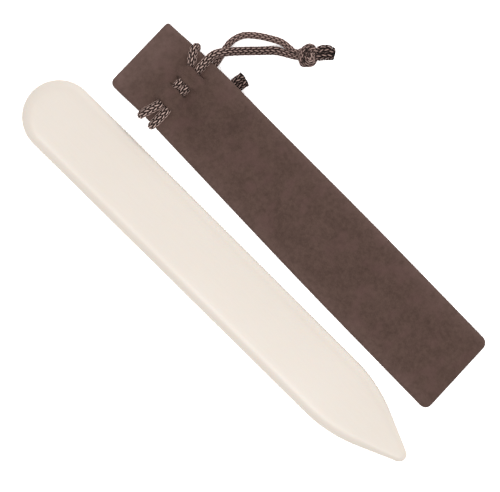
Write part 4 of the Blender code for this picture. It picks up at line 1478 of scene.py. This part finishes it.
@dataclass(frozen=True)
class Braid:
    """A round braid: strands of both hands wind round a core and pass over two and under two, and each
    runs almost straight while it lies on top."""

    strands_each_way: int = 10
    pitch: float = 21.5 * MM
    sway: float = 0.5
    seat: float = 0.70
    weave: float = 0.15
    strand_half_width: float = 0.22
    strand_half_thickness: float = 0.15
    core: float = 0.62
    # The core's rise of -1 gives it the braid's near-black painted shade colour, put in the gaps between the
    # strands.
    core_rise: float = -1.0
    strand_sides: int = 8
    core_sides: int = 14
    step: float = 0.36 * MM

    def tree(self, material: bpy.types.Material) -> bpy.types.NodeTree:
        """The node tree that braids strands round a path.

        Args:
            material: the yarn's material.

        Returns:
            The tree, with the sizes as its named inputs.
        """
        nodes = PathTree("round_braid", self.sizes)
        over = nodes.mark("cord_over", "FLOAT_VECTOR")
        beside = nodes.mark("cord_beside", "FLOAT_VECTOR")
        yarn = self.yarn(nodes, over, beside)
        core = self.filling(nodes, over, beside)
        joined = nodes.add("GeometryNodeJoinGeometry", None, {"Geometry": [core, yarn]})
        return nodes.dressed(joined, material)

    def yarn(self, nodes: PathTree, over: Value, beside: Value) -> Value:
        """The strands, as copies of the path that wind round it.

        Args:
            nodes: the tree.
            over: the path's direction over the cord, scaled to the way that it is pressed.
            beside: the same beside it.

        Returns:
            The strands' mesh.
        """
        sizes = nodes.sizes
        each_way = sizes.other("Strands Each Way")
        cord_radius = nodes.mark("cord_radius", "FLOAT")
        copies = nodes.add("GeometryNodeDuplicateElements", {"domain": "SPLINE"}, {
            "Geometry": nodes.line, "Amount": each_way * 2})
        index = copies.other("Duplicate Index")
        hand = index.math("MODULO", 2.0) * 2.0 - 1.0
        turn = (index / 2.0).math("FLOOR")
        along = nodes.add("GeometryNodeSplineParameter", None, None, output="Length")
        wound_angle = hand * along / sizes.other("Pitch") * (2 * math.pi) + turn / each_way * (2 * math.pi)
        phase = wound_angle * each_way * 0.5 - math.pi / 4
        rise = hand * phase.math("COSINE")
        sway = hand * sizes.other("Sway") * phase.math("SINE") + math.pi / 4
        angle = wound_angle - sway * 2.0 / each_way
        radial = nodes.vector("ADD", nodes.vector("SCALE", over, scale=angle.math("COSINE")),
                              nodes.vector("SCALE", beside, scale=angle.math("SINE")))
        outward = nodes.vector("NORMALIZE", radial)
        marked = nodes.store(copies, "strand_radial", "FLOAT_VECTOR", outward)
        marked = nodes.store(marked, "strand_rise", "FLOAT", rise)
        reach = cord_radius * (sizes.other("Seat") + rise * sizes.other("Weave"))
        wound = nodes.add("GeometryNodeSetPosition", None, {
            "Geometry": marked, "Offset": nodes.vector("SCALE", radial, scale=reach)})
        turned = nodes.add("GeometryNodeSetCurveNormal", {"mode": "FREE"}, {
            "Curve": wound, "Normal": nodes.mark("strand_radial", "FLOAT_VECTOR")})
        ring = nodes.add("GeometryNodeCurvePrimitiveCircle", None, {
            "Resolution": self.strand_sides, "Radius": 1.0})
        ring = nodes.store(ring, "strand_across", "FLOAT", nodes.add("GeometryNodeSplineParameter"))
        flat = nodes.add("ShaderNodeCombineXYZ", None, {
            0: sizes.other("Half Thickness"), 1: sizes.other("Half Width"), 2: 1.0})
        ring = nodes.add("GeometryNodeTransform", None, {"Geometry": ring, "Scale": flat})
        return nodes.add("GeometryNodeCurveToMesh", None, {
            "Curve": turned, "Profile Curve": ring, "Scale": cord_radius, "Fill Caps": True})

    def filling(self, nodes: PathTree, over: Value, beside: Value) -> Value:
        """The core that closes the gaps between the strands, coloured as painted shade.

        Args:
            nodes: the tree.
            over: the path's direction over the cord, scaled to the way that it is pressed.
            beside: the same beside it.

        Returns:
            The core's mesh.
        """
        position = nodes.add("GeometryNodeInputPosition")
        # Painted shade: a rise of -1 gives the core the near-black colour of the gaps.
        line = nodes.store(nodes.line, "strand_rise", "FLOAT", self.core_rise)
        line = nodes.store(line, "cord_middle", "FLOAT_VECTOR", position)
        ring = nodes.add("GeometryNodeCurvePrimitiveCircle", None, {
            "Resolution": self.core_sides, "Radius": nodes.sizes.other("Core")})
        size = nodes.mark("cord_radius", "FLOAT") * nodes.mark("cord_fullness", "FLOAT")
        core = nodes.add("GeometryNodeCurveToMesh", None, {
            "Curve": line, "Profile Curve": ring, "Scale": size, "Fill Caps": True})
        middle = nodes.mark("cord_middle", "FLOAT_VECTOR")
        out = nodes.vector("SUBTRACT", position, middle)
        pressed = middle
        for way in (over, beside):
            share = nodes.vector("DOT_PRODUCT", out, nodes.vector("NORMALIZE", way)).other("Value")
            pressed = nodes.vector("ADD", pressed, nodes.vector("SCALE", way, scale=share))
        return nodes.add("GeometryNodeSetPosition", None, {"Geometry": core, "Position": pressed})

    @property
    def sizes(self) -> dict[str, float]:
        """Values of the tree's named inputs."""
        return {
            "Strands Each Way": self.strands_each_way, "Pitch": self.pitch, "Sway": self.sway,
            "Seat": self.seat, "Weave": self.weave, "Half Width": self.strand_half_width,
            "Half Thickness": self.strand_half_thickness, "Core": self.core,
        }


@dataclass
class CordPath:
    """The middle line of a length of braid, from a hidden start through a knot to the end of its tail."""

    rows: np.ndarray
    leaves: np.ndarray
    knot_starts: float
    tail: float = 6.2 * MM
    sealed: float = 1.5 * MM
    sealed_within: float = 0.6 * MM
    sealed_fullness: float = 1.58
    tip_round: float = 1.8 * MM
    tip_size: float = 0.45
    touching_from: float = 8.0 * MM
    next_turn: float = 3.6 * MM
    crease: float = 0.45 * MM
    block: int = 4000

    @property
    def points(self) -> np.ndarray:
        """The line's points."""
        return self.rows[:, :3]

    def marks(self) -> dict[str, np.ndarray]:
        """What the braid needs to know at each point. The tail lies flat on the table, and its end is sealed.

        Returns:
            The cord's size, its directions scaled to the way that it is pressed, how full its core is, and
            the length gone, by name.
        """
        gone = lengths_along(self.points)
        over, beside = untwisted(self.points)
        lean = math.remainder(math.atan2(beside[-1, 2], over[-1, 2]), math.pi)
        knot_length = gone[-1] - self.tail - self.knot_starts
        turn = (lean * smooth_step((gone - self.knot_starts) / knot_length))[:, None]
        breadth = self.rows[:, 4:5]
        sealed = smooth_step((gone - gone[-1] + self.sealed) / self.sealed_within)
        to_tip = np.clip((gone[-1] - gone) / self.tip_round, 0.0, 1.0)
        tip = self.tip_size + (1 - self.tip_size) * np.sqrt(1 - (1 - to_tip) ** 2)
        return {
            "cord_radius": self.rows[:, 3] * tip,
            "cord_over": (over * np.cos(turn) + beside * np.sin(turn)) * breadth**TALL_POWER,
            "cord_beside": (beside * np.cos(turn) - over * np.sin(turn)) * breadth,
            "cord_fullness": 1 + (self.sealed_fullness - 1) * sealed,
            "cord_along": gone,
        }

    def press(self, piece: bpy.types.Object, other: "CordPath") -> None:
        """Marks the yarn that is pressed against another turn of cord at the knot, where no light comes.

        Args:
            piece: the braid on this path.
            other: the path of the other end in the same knot.
        """
        mesh = piece.data
        places = np.empty(3 * len(mesh.vertices))
        mesh.vertices.foreach_get("co", places)
        along = np.empty(len(mesh.vertices))
        mesh.attributes["cord_along"].data.foreach_get("value", along)
        gone = lengths_along(self.points)
        pressed = np.zeros(len(along))
        near = np.where(along > self.knot_starts - self.touching_from)[0]
        for block in np.array_split(near, len(near) // self.block + 1):
            corners = places.reshape(-1, 3)[block, None]
            depth = other.rows[:, 3] - np.linalg.norm(corners - other.points, axis=2)
            own_depth = self.rows[:, 3] - np.linalg.norm(corners - self.points, axis=2)
            own_depth[abs(along[block, None] - gone) < self.next_turn] = -1.0
            deepest = np.maximum(depth.max(axis=1), own_depth.max(axis=1))
            pressed[block] = smooth_step(deepest / self.crease + 1)
        mesh.attributes.new("cord_pressed", "FLOAT", "POINT").data.foreach_set("value", pressed)


@dataclass
class Drawstring:
    """One drawstring: right round the mouth, with both ends in a knot. It is two lengths of braid that
    meet out of sight inside the front panel."""

    name: str
    form: PouchForm
    front_strand: Route
    threaded: Route
    back_strand: Route
    knot: OverhandKnot
    knot_x: float
    knot_y: float
    knot_heading: float
    free_radius: float
    meeting_row: int
    front_exit_row: int
    back_exit_row: int
    front_breadth: float = 1.22
    back_breadth: float = 1.22
    tip_round: float = 1.8 * MM

    def route_rows(self, route: Route, breadth_free: float) -> np.ndarray:
        """Works out a route's points.

        Args:
            route: the route.
            breadth_free: how many times broader the cord is pressed where it lies free.

        Returns:
            Rows of (x, y, z, radius, breadth) in the pouch's frame.
        """
        rows = []
        for x, y, place in route:
            x, y = x * MM, y * MM
            if isinstance(place, Layer):
                height, radius, breadth = place.value
                steep = float(self.form.steepness(np.array(x), np.array(y)))
                level = float(self.form.middle(np.array(x), np.array(y))) + height * steep
                rows.append((x, y, level, radius, breadth))
            else:
                rows.append((x, y, place, self.free_radius, breadth_free))
        return np.array(rows)

    def halves(self, ends: Sequence[np.ndarray], step: float) -> list[CordPath]:
        """The two lengths of braid, each from where they meet to the end of its tail.

        Args:
            ends: rows of the two ends in the knot.
            step: the distance between points.

        Returns:
            The two paths, the front one first.
        """
        front = self.route_rows(self.front_strand, self.front_breadth)
        threaded = self.route_rows(self.threaded, self.front_breadth)
        back = self.route_rows(self.back_strand, self.back_breadth)
        rows = np.vstack((ends[0][::-1], front[::-1], threaded, back, ends[1]))
        first = len(ends[0]) + len(front)
        dense, gone, marks = smooth_curve(rows)
        dense[:, 2] = np.maximum(dense[:, 2], dense[:, 3] * dense[:, 4] ** TALL_POWER + TABLE_CLEARANCE)
        meeting = marks[first + self.meeting_row]
        halves = []
        for tip, enters, exit_row in ((marks[0], marks[len(ends[0]) - 1], self.front_exit_row),
                                      (marks[-1], marks[-len(ends[1])], self.back_exit_row)):
            places = np.linspace(meeting, tip, int(abs(tip - meeting) / step))
            leaves = rows_at(dense, gone, marks[first + exit_row:first + exit_row + 1])
            halves.append(CordPath(self.form.to_world(rows_at(dense, gone, places)),
                                   self.form.to_world(leaves)[0, :3], abs(enters - meeting),
                                   tip_round=self.tip_round))
        return halves

    def build(self, strands: tuple[np.ndarray, np.ndarray], braid: Braid,
              tree: bpy.types.NodeTree) -> list[bpy.types.Object]:
        """Args:
            strands: the tight knot's strands and the room that they have.
            braid: the braid's sizes.
            tree: the braid's node tree.

        Returns:
            The two pieces.
        """
        ends = [self.knot.end_rows(strand, room, self.knot_x, self.knot_y, self.knot_heading)
                for strand, room in zip(*strands)]
        pieces = []
        paths = self.halves(ends, braid.step)
        for word, path, other in zip(("front", "back"), paths, paths[::-1]):
            name = f"{self.name}_braid_{word}"
            line = path_mesh(f"{name}_path", path.points, path.marks())
            piece = grown_on_path(name, line, tree, braid.sizes)
            path.press(piece, other)
            stretches = [f"{word}_end", f"{word}_strand"]
            if word == "front":
                stretches.append("threaded")
            stand_in(piece, "pouch", "braid", *(f"{self.name}_{stretch}" for stretch in stretches))
            float(lengths_along(path.points)[-1])
            [tuple(point) for point in path.points]
            pieces.append(piece)
        return pieces


@dataclass
class SeamThread:
    """The stitches inside the pouch that join its panels down both sides and across the foot."""

    form: PouchForm
    inset: float = 1.5 * MM
    rise: float = 0.10 * MM
    stitch: float = 2.4 * MM
    diameter: float = 0.42 * MM
    overlap: float = 1.06
    starts: float = 2 * MM
    side_points: int = 180
    corner_points: int = 8
    stitch_sides: int = 8

    @property
    def sizes(self) -> dict[str, float]:
        """Values of the tree's named inputs."""
        return {"Stitch": self.stitch, "Diameter": self.diameter}

    def points(self) -> np.ndarray:
        """The seam's line, from the mouth down the left side, across the foot and up the right side.

        Returns:
            Its points in the frame of the model.
        """
        form = self.form
        end = form.length / 2
        corner = form.foot_corner - self.inset
        foot_x = end - form.foot_corner
        sides = np.linspace(-end + self.starts, foot_x, self.side_points)
        foot_y = float(form.half_width(np.array(foot_x), 1)) - form.foot_corner
        turn = np.linspace(0, math.pi / 2, self.corner_points)
        left = np.stack((sides, self.inset - form.half_width(sides, -1)), axis=1)
        left_corner = np.stack((foot_x + corner * np.sin(turn), -foot_y - corner * np.cos(turn)), axis=1)
        right_corner = np.stack((foot_x + corner * np.cos(turn), foot_y + corner * np.sin(turn)), axis=1)
        right = np.stack((sides, form.half_width(sides, 1) - self.inset), axis=1)[::-1]
        x, y = np.vstack((left, left_corner, right_corner, right)).T
        height = form.middle(x, y) + self.rise * form.steepness(x, y)
        place_x, place_y = form.placed(x, y)
        return form.to_world(np.stack((place_x, place_y, height), axis=1))

    def tree(self, material: bpy.types.Material) -> bpy.types.NodeTree:
        """The node tree that sets stitches end to end along a path.

        Args:
            material: the thread's material.

        Returns:
            The tree, with the sizes as its named inputs.
        """
        nodes = PathTree("seam_stitches", self.sizes)
        stitch, diameter = nodes.sizes.other("Stitch"), nodes.sizes.other("Diameter")
        points = nodes.add("GeometryNodeCurveToPoints", {"mode": "LENGTH"}, {
            "Curve": nodes.line, "Length": stitch})
        bead = nodes.add("GeometryNodeMeshUVSphere", None, {
            "Segments": self.stitch_sides, "Rings": self.stitch_sides, "Radius": 0.5})
        shape = nodes.add("ShaderNodeCombineXYZ", None, {
            0: diameter, 1: diameter, 2: stitch * self.overlap})
        bead = nodes.add("GeometryNodeTransform", None, {"Geometry": bead, "Scale": shape})
        placed = nodes.add("GeometryNodeInstanceOnPoints", None, {
            "Points": points, "Instance": bead, "Rotation": points.other("Rotation")})
        return nodes.dressed(placed, material)

    def build(self, finish: ThreadFinish) -> bpy.types.Object:
        """Builds the seam.

        Args:
            finish: its thread.

        Returns:
            The piece, riding on the pouch.
        """
        path = path_mesh("seam_line", self.points(), {})
        piece = grown_on_path("seam_stitches", path, self.tree(finish.material()), self.sizes)
        stand_in(piece, "pouch", "thread", "seam_thread")
        return piece


# The studio


@dataclass(frozen=True)
class Lamp:
    """A round lamp that looks at the object from a heading and an elevation."""

    name: str
    power: float
    size: float
    heading: float
    elevation: float


@dataclass
class Studio:
    """A pale table under soft light, seen from above as in the photograph."""

    picture_width: float = 190.84 * MM
    target: tuple[float, float, float] = (0.72 * MM, 16.34 * MM, 2.0 * MM)
    picture_heading: float = math.radians(44.75)
    tilt: float = math.radians(1.0)
    camera_distance: float = 2.4
    view_reach: float = 10.0
    sensor: float = 36.0
    table_drop: float = 0.2 * MM
    table_size: float = 3.0
    table_grey: Colour = (0.82, 0.82, 0.82)
    table_white: Colour = (2.6, 2.6, 2.6)
    dome: float = 0.68
    lamp_distance: float = 1.5
    lamps: tuple[Lamp, ...] = (
        Lamp("key", 4.0, 0.62, math.radians(-80), math.radians(76)),
        Lamp("fill", 4.8, 1.5, math.radians(90), math.radians(40)),
    )

    def camera(self) -> bpy.types.Object:
        """The camera over the table, level across the picture and leaning back a little.

        Returns:
            The camera, which the scene uses.
        """
        cosine, sine = math.cos(self.picture_heading), math.sin(self.picture_heading)
        picture_up = Vector((-sine, cosine, 0.0))
        back = Vector((0, 0, 1)) * math.cos(self.tilt) - picture_up * math.sin(self.tilt)
        up = picture_up * math.cos(self.tilt) + Vector((0, 0, 1)) * math.sin(self.tilt)
        right = up.cross(back)
        data = bpy.data.cameras.new("camera")
        data.sensor_fit = "HORIZONTAL"
        data.sensor_width = self.sensor
        data.lens = self.sensor * self.camera_distance / self.picture_width
        data.clip_end = self.view_reach
        camera = bpy.data.objects.new("camera", data)
        place = Vector(self.target) + back * self.camera_distance
        camera.matrix_world = Matrix.Translation(place) @ Matrix((right, up, back)).transposed().to_4x4()
        bpy.context.scene.collection.objects.link(camera)
        bpy.context.scene.camera = camera
        return camera

    def table(self) -> bpy.types.Object:
        """The table top: white to the camera, pale to the light that bounces off it.

        Returns:
            The table.
        """
        built = bmesh.new()
        bmesh.ops.create_grid(built, x_segments=1, y_segments=1, size=self.table_size / 2)
        for vert in built.verts:
            vert.co.z = -self.table_drop
        material = bpy.data.materials.new("table_white")
        material.use_nodes = True
        material.node_tree.nodes.clear()
        nodes = Nodes(material.node_tree)
        colour = nodes.mix(self.seen_by_eye(nodes), self.table_grey, self.table_white)
        surface = nodes.add("ShaderNodeBsdfDiffuse", None, {"Color": colour})
        nodes.make("ShaderNodeOutputMaterial", None, {"Surface": surface})
        table = linked_object("table", mesh_from(built, "table"), material)
        return table

    @staticmethod
    def seen_by_eye(nodes: Nodes) -> Value:
        """Tells the rays that carry the picture from those that only light it.

        Args:
            nodes: the tree that asks.

        Returns:
            1 on rays that come straight, mirrored or through glass, else 0.
        """
        path = nodes.add("ShaderNodeLightPath", None, None, output="Is Camera Ray")
        mirrored = path.other("Is Glossy Ray").math("MAXIMUM", path.other("Is Transmission Ray"))
        return path.math("MAXIMUM", mirrored)

    def light(self) -> None:
        """An even dome, a broad lamp high over the folder's free side and another over the pouch."""
        world = bpy.data.worlds.new("dome")
        world.use_nodes = True
        world.node_tree.nodes.clear()
        nodes = Nodes(world.node_tree)
        strength = self.seen_by_eye(nodes) * (1.0 - self.dome) + self.dome
        sky = nodes.add("ShaderNodeBackground", None, {"Color": (1.0, 1.0, 1.0, 1.0), "Strength": strength})
        nodes.make("ShaderNodeOutputWorld", None, {"Surface": sky})
        bpy.context.scene.world = world

        for lamp in self.lamps:
            data = bpy.data.lights.new(lamp.name, "AREA")
            data.shape = "DISK"
            data.size = lamp.size
            data.energy = lamp.power
            made = bpy.data.objects.new(lamp.name, data)
            level = math.cos(lamp.elevation)
            toward = Vector((level * math.cos(lamp.heading), level * math.sin(lamp.heading),
                             math.sin(lamp.elevation)))
            made.location = Vector(self.target) + toward * self.lamp_distance
            made.rotation_euler = toward.to_track_quat("Z", "Y").to_euler()
            bpy.context.scene.collection.objects.link(made)


def log_piece(piece: bpy.types.Object) -> None:
    """Reports a finished piece."""
    LOG.info("%s: %d faces", piece.name, len(piece.data.polygons))


def main() -> None:
    """Builds the camera, the drawstrings, the pouch, the folder, the table and the light in order."""
    logging.basicConfig(level=logging.INFO, format="%(message)s")
    bpy.context.scene.view_settings.view_transform = "Standard"
    studio = Studio()
    studio.camera()

    form = PouchForm()
    braid = Braid()
    braid_tree = braid.tree(BraidFinish().material())
    right_knot = OverhandKnot()
    left_knot = replace(right_knot, tail_closes=0.0, tail_breadth=1.75)
    strands = right_knot.tight()
    drawstrings = (
        Drawstring("right_drawstring", form, RIGHT_FRONT_STRAND, RIGHT_THREADED, RIGHT_BACK_STRAND,
                   right_knot, knot_x=-40.7 * MM, knot_y=44.4 * MM, knot_heading=math.radians(49),
                   free_radius=CORD_RADIUS, front_breadth=1.38, back_breadth=1.06,
                   meeting_row=9, front_exit_row=2, back_exit_row=22),
        Drawstring("left_drawstring", form, LEFT_FRONT_STRAND, LEFT_THREADED, LEFT_BACK_STRAND,
                   left_knot, knot_x=-51.2 * MM, knot_y=11.1 * MM, knot_heading=math.radians(86),
                   free_radius=CORD_RADIUS_UNDER, tip_round=0.5 * MM,
                   meeting_row=10, front_exit_row=8, back_exit_row=12),
    )
    for drawstring in drawstrings:
        for piece in drawstring.build(strands, braid, braid_tree):
            log_piece(piece)

    velvet = VelvetFinish().material()
    panels = {}
    for side in (Side.BACK, Side.FRONT):
        panels[side] = VelvetPanel(side, form).build(velvet)
        log_piece(panels[side])
    log_piece(SeamThread(form).build(ThreadFinish()))
    log_piece(BoneFolder().build(BoneFinish()))

    studio.table()
    studio.light()


if __name__ == "__main__":
    main()
